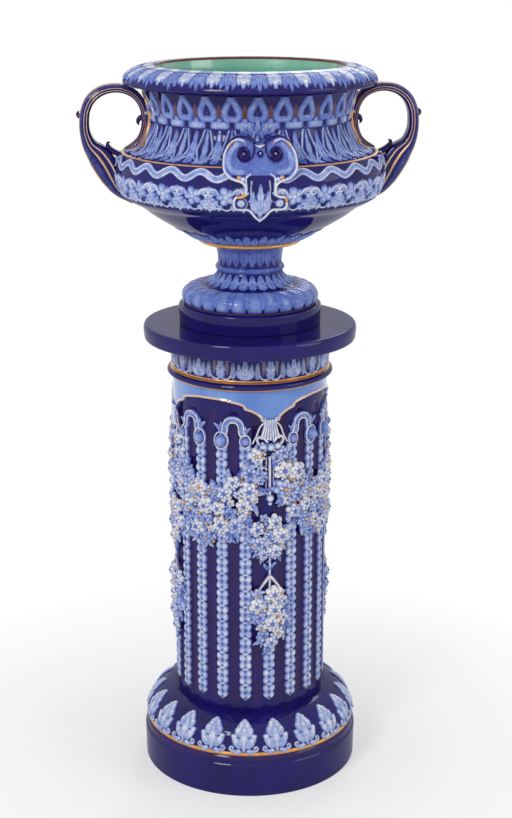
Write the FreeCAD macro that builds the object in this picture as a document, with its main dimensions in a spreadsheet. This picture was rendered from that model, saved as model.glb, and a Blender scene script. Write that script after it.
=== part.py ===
"""A glazed earthenware jardiniere on its column stand, as a parametric document in millimetres.

The stand is a hollow base, a fluted column with reeds and festoons, a capital and a flat slab.
The jardiniere stands loose on the slab: a bowl with two handles and two strapwork cartouches,
held to its socle by one tie bolt. +Z is up, the floor is Z = 0, and the axis of both is the Z axis.
The bowl's cartouches face -Y and +Y and its handles point along X.
"""

import FreeCAD, Part
import math
import os

import Sketcher
from FreeCAD import Vector

DRIVING_SIZES = {
    # the base of the stand
    "plinth_radius": 165.0,
    "plinth_height": 51.6,
    "band_inset": 2.0,
    "band_height": 12.0,
    "cushion_inset": 4.0,
    "cushion_height": 46.0,
    "cushion_depth": 38.0,
    "base_wall": 14.0,
    "seat_height": 6.0,
    "seat_margin": 4.0,
    # the column and what is moulded on it
    "column_radius": 112.0,
    "column_height": 503.0,
    "column_wall": 13.0,
    "stand_turn": 10.5,
    "reed_count": 20.0,
    "flute_radius": 12.0,
    "flute_depth": 3.0,
    "flute_foot": 12.0,
    "flute_head": 30.0,
    "reed_section_radius": 13.0,
    "reed_rise": 3.5,
    "reed_foot": 18.0,
    "reed_point": 14.0,
    "reed_head": 78.5,
    "short_reed_length": 90.0,
    "loop_outer_radius": 17.0,
    "loop_inner_radius": 6.5,
    "loop_leg": 17.0,
    "loop_drop": 38.0,
    "relief_rise": 5.0,
    "apron_thickness": 4.0,
    "apron_band": 19.0,
    "apron_point": 46.0,
    "arch_spring": 9.0,
    "arch_top_half_width": 44.0,
    "arch_foot_half_width": 67.0,
    # the festoons, hung from four knots
    "festoon_rise": 9.0,
    "festoon_gap": 0.3,
    "knot_drop": 78.0,
    "swag_low": 192.0,
    "swag_half_height": 42.0,
    "swag_end_half_height": 9.0,
    "bow_half_width": 13.0,
    "bow_height": 34.0,
    "bow_gap": 3.0,
    "rod_half_width": 3.0,
    "upper_spray_drop": 227.0,
    "upper_spray_half_width": 26.0,
    "upper_spray_half_height": 26.0,
    "lower_spray_drop": 352.0,
    "lower_spray_half_width": 22.0,
    "lower_spray_half_height": 42.0,
    "spray_gap": 1.0,
    # the capital and the slab
    "capital_ring_radius": 123.0,
    "capital_ring_height": 13.0,
    "frieze_radius": 115.0,
    "frieze_height": 41.4,
    "capital_wall": 16.0,
    "slab_radius": 157.7,
    "slab_thickness": 23.1,
    "slab_edge": 3.0,
    # the socle of the jardiniere
    "socle_radius": 105.0,
    "socle_plinth_height": 29.5,
    "gadroon_radius": 98.0,
    "gadroon_height": 24.0,
    "gadroon_tuck": 3.0,
    "flare_height": 16.0,
    "flare_foot": 14.0,
    "stem_radius": 46.0,
    "stem_ring_radius": 50.0,
    "stem_ring_height": 10.0,
    "stem_height": 40.0,
    "collar_radius": 74.0,
    "collar_height": 6.0,
    "socle_wall": 11.0,
    # the bowl
    "belly_radius": 193.0,
    "belly_height": 107.0,
    "turn_radius": 160.0,
    "turn_height": 52.0,
    "shoulder_radius": 184.0,
    "shoulder_height": 126.5,
    "shoulder_step": 9.0,
    "neck_radius": 142.0,
    "neck_height": 168.0,
    "rim_radius": 181.0,
    "rim_height": 222.0,
    "rim_underside": 22.0,
    "rim_hollow": 13.0,
    "lip_height": 4.0,
    "lip_rise": 26.0,
    "mouth_radius": 134.5,
    "bowl_height": 248.0,
    "bowl_wall": 10.0,
    "bowl_floor": 12.0,
    # the handles
    "handle_width": 26.0,
    "handle_edge": 4.0,
    "loop_centre": 187.0,
    "loop_half_width": 40.0,
    "strap_thickness": 14.0,
    "thumb_rise": 4.5,
    "spur_thickness": 3.0,
    "handle_tail": 51.0,
    # the cartouches
    "cartouche_stand": 6.0,
    "cartouche_half_width": 52.0,
    "cartouche_top": 164.0,
    "cartouche_foot": 50.0,
    "volute_radius": 22.0,
    "cartouche_leg": 19.0,
    # the tie bolt, its seal and the plate under the stem
    "bolt_radius": 6.0,
    "bolt_clearance": 1.5,
    "bolt_head_height": 9.0,
    "seal_radius": 22.0,
    "seal_thickness": 3.0,
    "plate_seat": 8.0,
    "plate_margin": 1.0,
    "plate_thickness": 4.0,
    "nut_across_flats": 19.0,
    "nut_height": 10.0,
    "nut_thread_gap": 0.1,
    "bolt_end": 8.0,
}

SWAGS = 4
SWAG_SCALLOPS = 6
SPRAY_SCALLOPS = 6


class Size:
    """A length or a number, with the formula that ties it to the sheet."""

    def __init__(self, value, text):
        self.value = value
        self.text = text

    def __add__(self, other):
        other = size_of(other)
        return Size(self.value + other.value, f"({self.text} + {other.text})")

    def __sub__(self, other):
        other = size_of(other)
        return Size(self.value - other.value, f"({self.text} - {other.text})")

    def __mul__(self, other):
        other = size_of(other)
        return Size(self.value * other.value, f"({self.text} * {other.text})")

    def __truediv__(self, other):
        other = size_of(other)
        return Size(self.value / other.value, f"({self.text} / {other.text})")

    def __neg__(self):
        return Size(-self.value, f"(0 - {self.text})")

    __radd__ = __add__

    def __rsub__(self, other):
        return size_of(other) - self

    __rmul__ = __mul__


def size_of(number):
    """A Size as it is, or a plain number as a Size."""
    if isinstance(number, Size):
        return number
    return Size(float(number), f"{float(number):.6f}")


def root(size):
    return Size(math.sqrt(size.value), f"sqrt({size.text})")


class Sizes:
    """Every driving size by its name."""


doc = FreeCAD.newDocument("jardiniere_on_stand")


def make_sheet():
    """The sheet of driving sizes, and the same sizes for the formulas."""
    sheet = doc.addObject("Spreadsheet::Sheet", "Sizes")
    named = Sizes()
    for row, (name, value) in enumerate(DRIVING_SIZES.items(), start=1):
        sheet.set(f"A{row}", name.replace("_", " "))
        sheet.set(f"B{row}", str(value))
        sheet.setAlias(f"B{row}", name)
    doc.recompute()
    for name in DRIVING_SIZES:
        setattr(named, name, Size(float(getattr(sheet, name)), f"Sizes.{name}"))
    return named


S = make_sheet()
FINISHED = {}


def finish(label, thing):
    """Keeps a finished sub-part under its own label."""
    thing.Label = label
    FINISHED[label] = thing
    return thing


def bind(thing, prop, size):
    thing.setExpression(prop, size_of(size).text)


def new_body(name):
    return doc.addObject("PartDesign::Body", name)


def origin_part(body, role):
    return next(f for f in body.Origin.OriginFeatures if f.Role == role)


def faceted(start, end, bulge, steps):
    """The corners between the ends of an arc that is drawn as a number of straight steps."""
    radius = (1 + bulge * bulge) / abs(4 * bulge)
    centre = (1 - bulge * bulge) / (4 * bulge)
    first = math.atan2(-centre, -0.5)
    corners = []
    for step in range(1, steps):
        angle = first + 4 * math.atan(bulge) * step / steps
        along = 0.5 + radius * math.cos(angle)
        aside = centre + radius * math.sin(angle)
        across, up = end[0] - start[0], end[1] - start[1]
        corners.append((start[0] + across * along - up * aside, start[1] + up * along + across * aside, 0.0))
    return corners


def full_corners(corners):
    """Corners as (across, up, bulge), with each stepped arc drawn out."""
    corners = [(size_of(c[0]), size_of(c[1])) + tuple(c[2:]) for c in corners]
    full = []
    for corner, following in zip(corners, corners[1:] + corners[:1]):
        bulge = corner[2] if len(corner) > 2 else 0.0
        if len(corner) > 3:
            full.append(corner[:2] + (0.0,))
            full += faceted(corner, following, bulge, corner[3])
        else:
            full.append(corner[:2] + (bulge,))
    return full


def outline(body, name, plane, corners, offset=None):
    """A closed sketch through corners, on one of the body's own planes.

    A corner is (across, up), (across, up, bulge) or (across, up, bulge, steps). The bulge rounds the
    stretch that leads on from it: it is the tangent of a quarter of the stretch's turn, positive where
    the stretch turns left. With steps, the arc is drawn as that many straight lengths, which keeps a
    wide turned surface light.
    """
    sketch = body.newObject("Sketcher::SketchObject", name)
    sketch.AttachmentSupport = (origin_part(body, plane), [""])
    sketch.MapMode = "FlatFace"
    if offset is not None:
        bind(sketch, ".AttachmentOffset.Base.z", offset)
    corners = full_corners(corners)
    ends = []
    for (across, up, bulge), (to_across, to_up, _) in zip(corners, corners[1:] + corners[:1]):
        start = Vector(across.value, up.value, 0)
        end = Vector(to_across.value, to_up.value, 0)
        if not bulge:
            line = sketch.addGeometry(Part.LineSegment(start, end))
            ends.append((line, 1, 2))
            continue
        chord = end - start
        middle = (start + end) * 0.5 + Vector(chord.y, -chord.x, 0) * (bulge / 2)
        arc = sketch.addGeometry(Part.Arc(start, middle, end))
        ends.append((arc, 1, 2) if bulge > 0 else (arc, 2, 1))
    for (this, _, leave), (following, arrive, _) in zip(ends, ends[1:] + ends[:1]):
        sketch.addConstraint(Sketcher.Constraint("Coincident", this, leave, following, arrive))
    for (edge, start, _), corner, to_corner in zip(ends, corners, corners[1:] + corners[:1]):
        for kind, length in (("DistanceX", corner[0]), ("DistanceY", corner[1])):
            index = sketch.addConstraint(Sketcher.Constraint(kind, -1, 1, edge, start, length.value))
            bind(sketch, f"Constraints[{index}]", length)
        bulge = abs(corner[2])
        if bulge:
            across, up = to_corner[0] - corner[0], to_corner[1] - corner[1]
            radius = root(across * across + up * up) * ((1 + bulge * bulge) / (4 * bulge))
            index = sketch.addConstraint(Sketcher.Constraint("Radius", edge, radius.value))
            bind(sketch, f"Constraints[{index}]", radius)
    return sketch


def turned(label, corners):
    """A body turned about the Z axis, from corners given as (radius, height)."""
    body = new_body(label)
    sketch = outline(body, label + "_profile", "XZ_Plane", corners)
    turning = body.newObject("PartDesign::Revolution", label + "_turning")
    turning.Profile = sketch
    turning.ReferenceAxis = (sketch, ["V_Axis"])
    turning.Angle = 360.0
    return body


def pad(body, sketch, name, length, reverse=False, middle=False):
    feature = body.newObject("PartDesign::Pad", name)
    feature.Profile = sketch
    feature.Midplane = middle
    feature.Reversed = reverse
    bind(feature, "Length", length)
    return feature


def pocket(body, sketch, name, length, reverse=False, middle=False):
    """Cuts a sketch from a body, and checks that the cut took something away."""
    doc.recompute()
    before = body.Shape.Volume
    feature = body.newObject("PartDesign::Pocket", name)
    feature.Profile = sketch
    feature.Midplane = middle
    feature.Reversed = reverse
    bind(feature, "Length", length)
    doc.recompute()
    if body.Shape.Volume >= before:
        raise RuntimeError(f"{name} cut nothing")
    return feature


def around_axis(body, feature, name, count):
    """Repeats a feature of a body around the Z axis."""
    pattern = body.newObject("PartDesign::PolarPattern", name)
    pattern.Originals = [feature]
    pattern.Axis = (origin_part(body, "Z_Axis"), [""])
    pattern.Angle = 360.0
    bind(pattern, "Occurrences", count)
    body.Tip = pattern
    return pattern


def boolean(kind, name, base, tool):
    result = doc.addObject(kind, name)
    result.Base = base
    result.Tool = tool
    return result


def ring_of(name, source, angles):
    """Copies of a shape turned about the Z axis by each of the angles, as separate solids."""
    doc.recompute()
    group = doc.addObject("Part::Feature", name)
    solids = []
    for angle in angles:
        for solid in source.Shape.Solids:
            copy = solid.copy()
            copy.rotate(Vector(0, 0, 0), Vector(0, 0, 1), angle)
            solids.append(copy)
    group.Shape = Part.makeCompound(solids)
    return group


# Heights that follow from the driving sizes, from the floor up.
BAND_TOP = S.plinth_height + S.band_height
CUSHION_TOP = BAND_TOP + S.cushion_height
COLUMN_FOOT = CUSHION_TOP + S.seat_height
COLUMN_TOP = COLUMN_FOOT + S.column_height
CAPITAL_TOP = COLUMN_TOP + S.capital_ring_height + S.frieze_height
SLAB_TOP = CAPITAL_TOP + S.slab_thickness
SOCLE_PLINTH_TOP = SLAB_TOP + S.socle_plinth_height
GADROON_TOP = SOCLE_PLINTH_TOP + S.gadroon_height
FLARE_TOP = GADROON_TOP + S.flare_height
STEM_RING_TOP = FLARE_TOP + S.stem_ring_height
STEM_TOP = STEM_RING_TOP + S.stem_height
BOWL_FOOT = STEM_TOP + S.collar_height

COLUMN_BORE = S.column_radius - S.column_wall
STEM_BORE = S.stem_radius - S.socle_wall
PLATE_SEAT = FLARE_TOP - S.socle_wall
REED_CREST = S.column_radius + S.reed_rise
REEDS_PER_SWAG = round(S.reed_count.value / SWAGS)
REED_PITCH = 360.0 / (REEDS_PER_SWAG * SWAGS)
KNOT_ANGLES = [S.stand_turn.value + 360.0 / SWAGS * k for k in range(SWAGS)]

# What hangs on the column keeps its proportion to the stretch between the knots and the short reeds.
HUNG = S.lower_spray_drop + S.lower_spray_half_height + S.spray_gap + S.short_reed_length + S.reed_foot
FALL = S.column_height / HUNG
SHORT_REED = (S.reed_foot + S.short_reed_length) * FALL - S.reed_foot

# The bowl's radii keep their proportion to its belly, and its levels theirs to its height.
BREADTH = S.belly_radius / (S.shoulder_radius + S.shoulder_step)
STRETCH = S.bowl_height / (S.rim_height + S.lip_rise)
TURN_RADIUS = S.turn_radius * BREADTH
SHOULDER_RADIUS = S.shoulder_radius * BREADTH
NECK_RADIUS = S.neck_radius * BREADTH
RIM_RADIUS = S.rim_radius * BREADTH
MOUTH_RADIUS = S.mouth_radius * BREADTH


def bowl_level(height):
    """The height above the floor of a level of the bowl."""
    return BOWL_FOOT + height * STRETCH


TURN_LEVEL = bowl_level(S.turn_height)
BELLY_LEVEL = bowl_level(S.belly_height)
SHOULDER_LEVEL = bowl_level(S.shoulder_height)
NECK_LEVEL = bowl_level(S.neck_height)
RIM_LEVEL = bowl_level(S.rim_height)


def stand_base():
    """The hollow base: a plinth, a thin band and a swelling cushion, with a seat for the column."""
    band_radius = S.plinth_radius - S.band_inset
    cushion_foot = S.plinth_radius - S.cushion_inset
    cushion_head = cushion_foot - S.cushion_depth
    inside = S.plinth_radius - S.base_wall
    seat = S.column_radius + S.seat_margin
    profile = [
        (inside, 0),
        (S.plinth_radius, 0),
        (S.plinth_radius, S.plinth_height),
        (band_radius, S.plinth_height),
        (band_radius, BAND_TOP),
        (cushion_foot, BAND_TOP, 0.34, 3),
        (cushion_head, CUSHION_TOP),
        (seat, CUSHION_TOP),
        (seat, COLUMN_FOOT),
        (COLUMN_BORE, COLUMN_FOOT),
        (COLUMN_BORE, CUSHION_TOP - S.base_wall),
        (inside, BAND_TOP),
    ]
    return finish("stand_base", turned("stand_base", profile))


def column():
    """The column's wall, with a flute between each pair of reeds."""
    body = turned(
        "column",
        [
            (COLUMN_BORE, COLUMN_FOOT),
            (S.column_radius, COLUMN_FOOT),
            (S.column_radius, COLUMN_TOP),
            (COLUMN_BORE, COLUMN_TOP),
        ],
    )
    reach = S.column_radius - S.flute_depth + S.flute_radius
    turn = math.radians(REED_PITCH / 2 + S.stand_turn.value)
    angle = f"(180 / ({SWAGS} * round(Sizes.reed_count / {SWAGS})) + Sizes.stand_turn)"
    across = reach * Size(math.sin(turn), f"sin{angle}")
    along = -(reach * Size(math.cos(turn), f"cos{angle}"))
    section = circle_sketch(body, "flute_section", S.flute_radius, COLUMN_FOOT + S.flute_foot, across, along)
    length = S.column_height - S.flute_foot - S.flute_head
    flute = pocket(body, section, "flute", length, reverse=True)
    around_axis(body, flute, "flutes", Size(REEDS_PER_SWAG * SWAGS, f"{SWAGS} * round(Sizes.reed_count / {SWAGS})"))
    return finish("column", body)


def cylinder(name, radius):
    """A plain cylinder on the axis, to cut or fit ornament against."""
    form = doc.addObject("Part::Cylinder", name)
    bind(form, "Radius", radius)
    bind(form, "Height", SLAB_TOP)
    return form


def reed(name, length, core):
    """One reed: a bar of round section with its back to the column and a pointed foot."""
    body = new_body(name + "_bar")
    foot = COLUMN_FOOT + S.reed_foot
    sketch = outline(
        body,
        name + "_profile",
        "XZ_Plane",
        [
            (0, foot),
            (S.reed_section_radius - S.reed_rise, foot),
            (S.reed_section_radius, foot + S.reed_point),
            (S.reed_section_radius, foot + length),
            (0, foot + length),
        ],
    )
    turning = body.newObject("PartDesign::Revolution", name + "_turning")
    turning.Profile = sketch
    turning.ReferenceAxis = (sketch, ["V_Axis"])
    turning.Angle = 360.0
    bind(body, ".Placement.Base.y", S.reed_section_radius - REED_CREST)
    return boolean("Part::Cut", name, body, core)


def reeds(core):
    """The reeds of the column. The four that stand under the drops are short."""
    long_reed = reed("long_reed", S.column_height - S.reed_foot - S.reed_head, core)
    short_reed = reed("short_reed", SHORT_REED, core)
    spots = range(REEDS_PER_SWAG * SWAGS)
    long_angles = [S.stand_turn.value + REED_PITCH * k for k in spots if k % REEDS_PER_SWAG]
    group = doc.addObject("Part::Compound", "reeds")
    group.Links = [
        ring_of("long_reeds", long_reed, long_angles),
        ring_of("short_reeds", short_reed, KNOT_ANGLES),
    ]
    return finish("reeds", group)


def reed_loops(core):
    """Horseshoe loops above the heads of the reeds, each between a pair, two pairs to a swag."""
    body = new_body("loop_form")
    outer, inner = S.loop_outer_radius, S.loop_inner_radius
    middle = COLUMN_TOP - S.loop_drop - outer
    foot = middle - S.loop_leg
    sketch = outline(
        body,
        "loop_outline",
        "XZ_Plane",
        [
            (outer, middle, 0.95),
            (-outer, middle),
            (-outer, foot),
            (-inner, foot),
            (-inner, middle, -0.95),
            (inner, middle),
            (inner, foot),
            (outer, foot),
        ],
    )
    pad(body, sketch, "loop_pad", S.column_radius + S.relief_rise)
    loop = boolean("Part::Cut", "loop", body, core)
    places = (1.5, REEDS_PER_SWAG - 1.5)
    angles = [knot + REED_PITCH * place for knot in KNOT_ANGLES for place in places]
    return finish("reed_loops", ring_of("reed_loops", loop, angles))


def apron():
    """The plain collar under the capital, cut into four pendants by four arches."""
    outer = S.column_radius + S.apron_thickness
    foot = COLUMN_TOP - S.apron_point
    body = turned(
        "apron",
        [(S.column_radius, foot), (outer, foot), (outer, COLUMN_TOP), (S.column_radius, COLUMN_TOP)],
    )
    top = COLUMN_TOP - S.apron_band
    side = foot + S.arch_spring
    sketch = outline(
        body,
        "arch_outline",
        "XZ_Plane",
        [
            (-S.arch_foot_half_width, foot - S.apron_thickness),
            (S.arch_foot_half_width, foot - S.apron_thickness),
            (S.arch_foot_half_width, side, 0.2),
            (S.arch_top_half_width, top),
            (-S.arch_top_half_width, top, 0.2),
            (-S.arch_foot_half_width, side),
        ],
    )
    arch = pocket(body, sketch, "arch", outer * 2, reverse=True)
    around_axis(body, arch, "arches", size_of(SWAGS))
    bind(body, ".Placement.Rotation.Angle", S.stand_turn + 180.0 / SWAGS)
    return finish("apron", body)


def capital():
    """The capital: a rounded ring and a straight frieze, hollow like the column."""
    ring_top = COLUMN_TOP + S.capital_ring_height
    shoulder = S.capital_ring_radius - S.capital_ring_height / 2
    bore = S.frieze_radius - S.capital_wall
    profile = [
        (bore, COLUMN_TOP),
        (shoulder, COLUMN_TOP, 1.0, 3),
        (shoulder, ring_top),
        (S.frieze_radius, ring_top),
        (S.frieze_radius, CAPITAL_TOP),
        (bore, CAPITAL_TOP),
    ]
    return finish("capital", turned("capital", profile))


def top_slab():
    """The flat slab that the jardiniere stands on."""
    profile = [
        (0, CAPITAL_TOP),
        (S.slab_radius - S.slab_edge, CAPITAL_TOP),
        (S.slab_radius, CAPITAL_TOP + S.slab_edge),
        (S.slab_radius, SLAB_TOP - S.slab_edge),
        (S.slab_radius - S.slab_edge, SLAB_TOP),
        (0, SLAB_TOP),
    ]
    return finish("top_slab", turned("top_slab", profile))


def scalloped(points, bulge):
    """A closed wire through points in the XZ plane, each stretch bowed outward by the bulge."""
    edges = []
    for start, end in zip(points, points[1:] + points[:1]):
        chord = end - start
        middle = (start + end) * 0.5 + Vector(chord.z, 0, -chord.x) * (bulge / 2)
        edges.append(Part.Arc(start, middle, end).toShape())
    return Part.Wire(edges)


def relief(name, wire, reach, core):
    """A flat outline pushed out from the axis as far as a radius and cut back to a core."""
    doc.recompute()
    prism = Part.Face(wire).extrude(Vector(0, -2 * reach.value, 0))
    skin = Part.makeCylinder(reach.value, SLAB_TOP.value).cut(core.Shape)
    form = doc.addObject("Part::Feature", name)
    form.Shape = prism.common(skin)
    return form


def festoons(crest):
    """Four swags of flowers, each a crescent with scalloped edges between two knots."""
    knot = COLUMN_TOP.value - S.knot_drop.value
    low = (COLUMN_TOP - S.swag_low * FALL).value
    reach = REED_CREST + S.festoon_rise
    end_turn = math.asin((S.bow_half_width + S.bow_gap).value / S.column_radius.value)
    half_turn = math.pi / SWAGS - end_turn
    upper, lower = [], []
    for step in range(SWAG_SCALLOPS + 1):
        share = 2 * step / SWAG_SCALLOPS - 1
        middle = low + (knot - low) * share * share
        spread = S.swag_half_height.value * (1 - share * share)
        spread += S.swag_end_half_height.value * share * share
        across = (REED_CREST + S.festoon_gap).value * math.sin(half_turn * share)
        upper.append(Vector(across, 0, middle + spread))
        lower.append(Vector(across, 0, middle - spread))
    swag = relief("swag", scalloped(lower + upper[::-1], 0.2), reach, crest)
    angles = [knot_angle + 180.0 / SWAGS for knot_angle in KNOT_ANGLES]
    return finish("festoons", ring_of("festoons", swag, angles))


def spray(drop, half_width, half_height):
    """A scalloped oval wire, as far as drop below the column's top."""
    centre = (COLUMN_TOP - drop * FALL).value
    angles = [2 * math.pi * k / SPRAY_SCALLOPS for k in range(SPRAY_SCALLOPS)]
    wide, tall = half_width.value, half_height.value
    points = [Vector(wide * math.cos(a), 0, centre + tall * math.sin(a)) for a in angles]
    return scalloped(points, 0.25)


def drops(core):
    """Below each knot: a rod that carries an upper and a lower spray of flowers."""
    reach = REED_CREST + S.festoon_rise
    upper = spray(S.upper_spray_drop, S.upper_spray_half_width, S.upper_spray_half_height)
    lower = spray(S.lower_spray_drop, S.lower_spray_half_width, S.lower_spray_half_height * FALL)
    half = S.rod_half_width.value
    top = COLUMN_TOP.value - S.knot_drop.value - S.bow_height.value / 2 - S.festoon_gap.value
    foot = (COLUMN_TOP - S.lower_spray_drop * FALL).value
    corners = [Vector(-half, 0, foot), Vector(half, 0, foot), Vector(half, 0, top), Vector(-half, 0, top)]
    rod = relief("rod", Part.makePolygon(corners + corners[:1]), REED_CREST, core)
    sprays = [relief("upper_spray", upper, reach, core), relief("lower_spray", lower, reach, core)]
    drop = doc.addObject("Part::Feature", "drop")
    drop.Shape = rod.Shape.fuse([spray.Shape for spray in sprays])
    return finish("drops", ring_of("drops", drop, KNOT_ANGLES))


def bows(core):
    """The tied bow over each knot."""
    centre = COLUMN_TOP.value - S.knot_drop.value
    wide, tall = S.bow_half_width.value, S.bow_height.value / 2
    waist = wide / 2
    points = [
        Vector(0, 0, centre - tall),
        Vector(wide, 0, centre - waist),
        Vector(wide, 0, centre + waist),
        Vector(waist, 0, centre + tall),
        Vector(-waist, 0, centre + tall),
        Vector(-wide, 0, centre + waist),
        Vector(-wide, 0, centre - waist),
    ]
    edges = Part.makePolygon(points + points[:1])
    bow = relief("bow", edges, REED_CREST + S.festoon_rise, core)
    return finish("bows", ring_of("bows", bow, KNOT_ANGLES))


def bowl_outside():
    """The bowl's outer profile, from the edge of its foot up to the mouth."""
    foot = BOWL_FOOT
    lip = foot + S.bowl_height
    hollow = RIM_LEVEL - S.rim_underside * STRETCH
    return [
        (S.collar_radius, foot, 0.08, 2),
        (TURN_RADIUS, TURN_LEVEL, 0.21, 3),
        (S.belly_radius, BELLY_LEVEL, 0.22, 2),
        (SHOULDER_RADIUS, SHOULDER_LEVEL, -0.36, 3),
        (NECK_RADIUS, NECK_LEVEL),
        (NECK_RADIUS, hollow - S.rim_hollow),
        (NECK_RADIUS + S.rim_hollow, hollow, 0.3, 3),
        (RIM_RADIUS, RIM_LEVEL, 0.29, 2),
        (RIM_RADIUS - S.rim_hollow, lip - S.lip_height * 2),
        (MOUTH_RADIUS + S.lip_height, lip),
    ]


def bowl():
    """The bowl: one hollow wall from the bolt's hole to the mouth."""
    foot = BOWL_FOOT
    wall = S.bowl_wall
    floor = foot + S.bowl_floor
    hole = S.bolt_radius + S.bolt_clearance
    inside = [
        (MOUTH_RADIUS, foot + S.bowl_height - S.lip_height),
        (NECK_RADIUS - wall, NECK_LEVEL, 0.36, 2),
        (SHOULDER_RADIUS - wall, SHOULDER_LEVEL - wall),
        (S.belly_radius - wall, BELLY_LEVEL, -0.21, 2),
        (TURN_RADIUS - wall, TURN_LEVEL + wall / 2),
        (S.collar_radius - wall, floor),
        (hole, floor),
        (hole, foot),
    ]
    return finish("bowl", turned("bowl", bowl_outside() + inside))


def bowl_form():
    """The bowl's outside as a solid, for the handles and cartouches to be fitted against."""
    corners = [(0, BOWL_FOOT)] + bowl_outside() + [(0, BOWL_FOOT + S.bowl_height)]
    return turned("bowl_form", corners)


def chamfer_sides(body, name, half_width, size):
    """Bevels the long edges on both side faces of a midplane pad."""
    doc.recompute()
    tip = body.Tip
    names = []
    for index, edge in enumerate(tip.Shape.Edges, start=1):
        if all(abs(abs(v.Y) - half_width.value) < 1e-6 for v in edge.Vertexes):
            names.append(f"Edge{index}")
    bevel = body.newObject("PartDesign::Chamfer", name)
    bevel.Base = (tip, names)
    bind(bevel, "Size", size)
    return bevel


def handles(form):
    """The two handles: a strap in a loop, with a spur on the shoulder and a tail down the belly."""
    body = new_body("handle_form")
    centre = S.loop_centre * BREADTH
    middle = NECK_LEVEL
    shoulder = SHOULDER_LEVEL
    tail = bowl_level(S.handle_tail)
    hole = S.loop_half_width
    strap = S.strap_thickness
    reach = hole + strap
    rise = hole * STRETCH
    inside = NECK_RADIUS - S.bowl_wall / 2
    sketch = outline(
        body,
        "handle_outline",
        "XZ_Plane",
        [
            (inside, tail),
            (S.belly_radius - strap, tail, 0.16),
            (centre + hole + S.thumb_rise * 2, middle - rise),
            (centre + reach - S.thumb_rise, middle - strap),
            (centre + reach + S.thumb_rise, middle),
            (centre + reach, middle + strap / 2, 0.37),
            (centre, middle + reach * STRETCH),
            (inside, middle + rise),
        ],
    )
    pad(body, sketch, "handle_pad", S.handle_width, middle=True)
    chamfer_sides(body, "strap_bevel", S.handle_width / 2, S.handle_edge)
    opening = outline(
        body,
        "finger_hole_outline",
        "XZ_Plane",
        [
            (inside, middle - strap),
            (inside, shoulder),
            (SHOULDER_RADIUS - strap, shoulder - strap / 2),
            (SHOULDER_RADIUS - S.spur_thickness * 2, shoulder + S.spur_thickness * 1.5),
            (SHOULDER_RADIUS, shoulder + S.spur_thickness),
            (centre + strap / 2, shoulder - strap / 2, 0.15),
            (centre + hole - strap, shoulder + strap / 2),
            (centre + hole - S.thumb_rise, middle - rise / 2),
            (centre + hole, middle, 0.414),
            (centre, middle + rise, 0.414),
            (centre - hole, middle),
        ],
    )
    pocket(body, opening, "finger_hole", S.handle_width * 2, middle=True)
    right = finish("handle_right", boolean("Part::Cut", "handle_right", body, form))
    left = doc.addObject("Part::Mirroring", "handle_left")
    left.Source = right
    left.Normal = Vector(1, 0, 0)
    finish("handle_left", left)


def cartouches(form):
    """A strapwork cartouche on the front and one on the back, cut to the bowl's outside."""
    stand = S.cartouche_stand
    low = bowl_level(S.cartouche_foot)
    top = bowl_level(S.cartouche_top)
    face = turned(
        "cartouche_face",
        [
            (0, low - stand),
            (TURN_RADIUS + stand, low - stand, 0.15, 2),
            (S.belly_radius + stand / 2, BELLY_LEVEL - stand),
            (S.belly_radius + stand / 2, SHOULDER_LEVEL),
            (NECK_RADIUS + S.volute_radius, top + stand),
            (0, top + stand),
        ],
    )
    body = new_body("cartouche_pad_body")
    wide = S.cartouche_half_width
    volute = S.volute_radius
    leg = S.cartouche_leg
    lobe = volute + leg / 2
    middle = top - volute
    flank = [
        (leg, low + volute * 0.6),
        (lobe, low + volute * 0.9, 0.5),
        (lobe, low + volute * 1.5),
        (leg, low + volute * 1.5),
        (leg, low + volute * 2.3),
        (lobe + leg / 2, low + volute * 2.6),
        (wide, middle - volute),
        (wide - leg / 4, middle, 0.3),
        (wide - volute, top, 0.25),
    ]
    dip = (leg / 3, top - volute * 0.4)
    corners = [(0, low)] + flank + [dip]
    mirrored = [(-across, up) for across, up in [dip, flank[-1][:2]]]
    mirrored[0] = mirrored[0] + (0.25,)
    mirrored[1] = mirrored[1] + (0.3,)
    mirrored += [(-corner[0], corner[1]) for corner in flank[-2::-1]]
    turn_back = len(mirrored) - 3
    mirrored[turn_back] = mirrored[turn_back] + (0.5,)
    sketch = outline(body, "cartouche_outline", "XZ_Plane", corners + mirrored)
    pad(body, sketch, "cartouche_pad", S.belly_radius + stand * 2)
    blank = boolean("Part::Common", "cartouche_blank", body, face)
    front = finish("cartouche_front", boolean("Part::Cut", "cartouche_front", blank, form))
    back = doc.addObject("Part::Mirroring", "cartouche_back")
    back.Source = front
    back.Normal = Vector(0, 1, 0)
    finish("cartouche_back", back)


def socle():
    """The jardiniere's foot: plinth, gadrooned torus, flare and open stem, with a seat for the tie plate."""
    wall = S.socle_wall
    ring_foot = S.stem_ring_radius - S.stem_ring_height / 2
    profile = [
        (S.gadroon_radius - wall, SLAB_TOP),
        (S.socle_radius, SLAB_TOP),
        (S.socle_radius, SOCLE_PLINTH_TOP),
        (S.gadroon_radius - S.gadroon_tuck, SOCLE_PLINTH_TOP, 0.6, 3),
        (S.gadroon_radius - wall, GADROON_TOP),
        (S.stem_radius + S.flare_foot, GADROON_TOP + S.flare_height / 2),
        (ring_foot, FLARE_TOP, 0.8, 2),
        (ring_foot, STEM_RING_TOP),
        (S.stem_radius, STEM_RING_TOP),
        (S.stem_radius, STEM_TOP - wall, -0.25, 2),
        (S.collar_radius - wall, STEM_TOP),
        (S.collar_radius, STEM_TOP),
        (S.collar_radius, BOWL_FOOT),
        (STEM_BORE, BOWL_FOOT),
        (STEM_BORE, PLATE_SEAT),
        (STEM_BORE + S.plate_seat, PLATE_SEAT),
        (S.gadroon_radius - wall, SOCLE_PLINTH_TOP),
    ]
    return finish("socle", turned("socle", profile))


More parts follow.
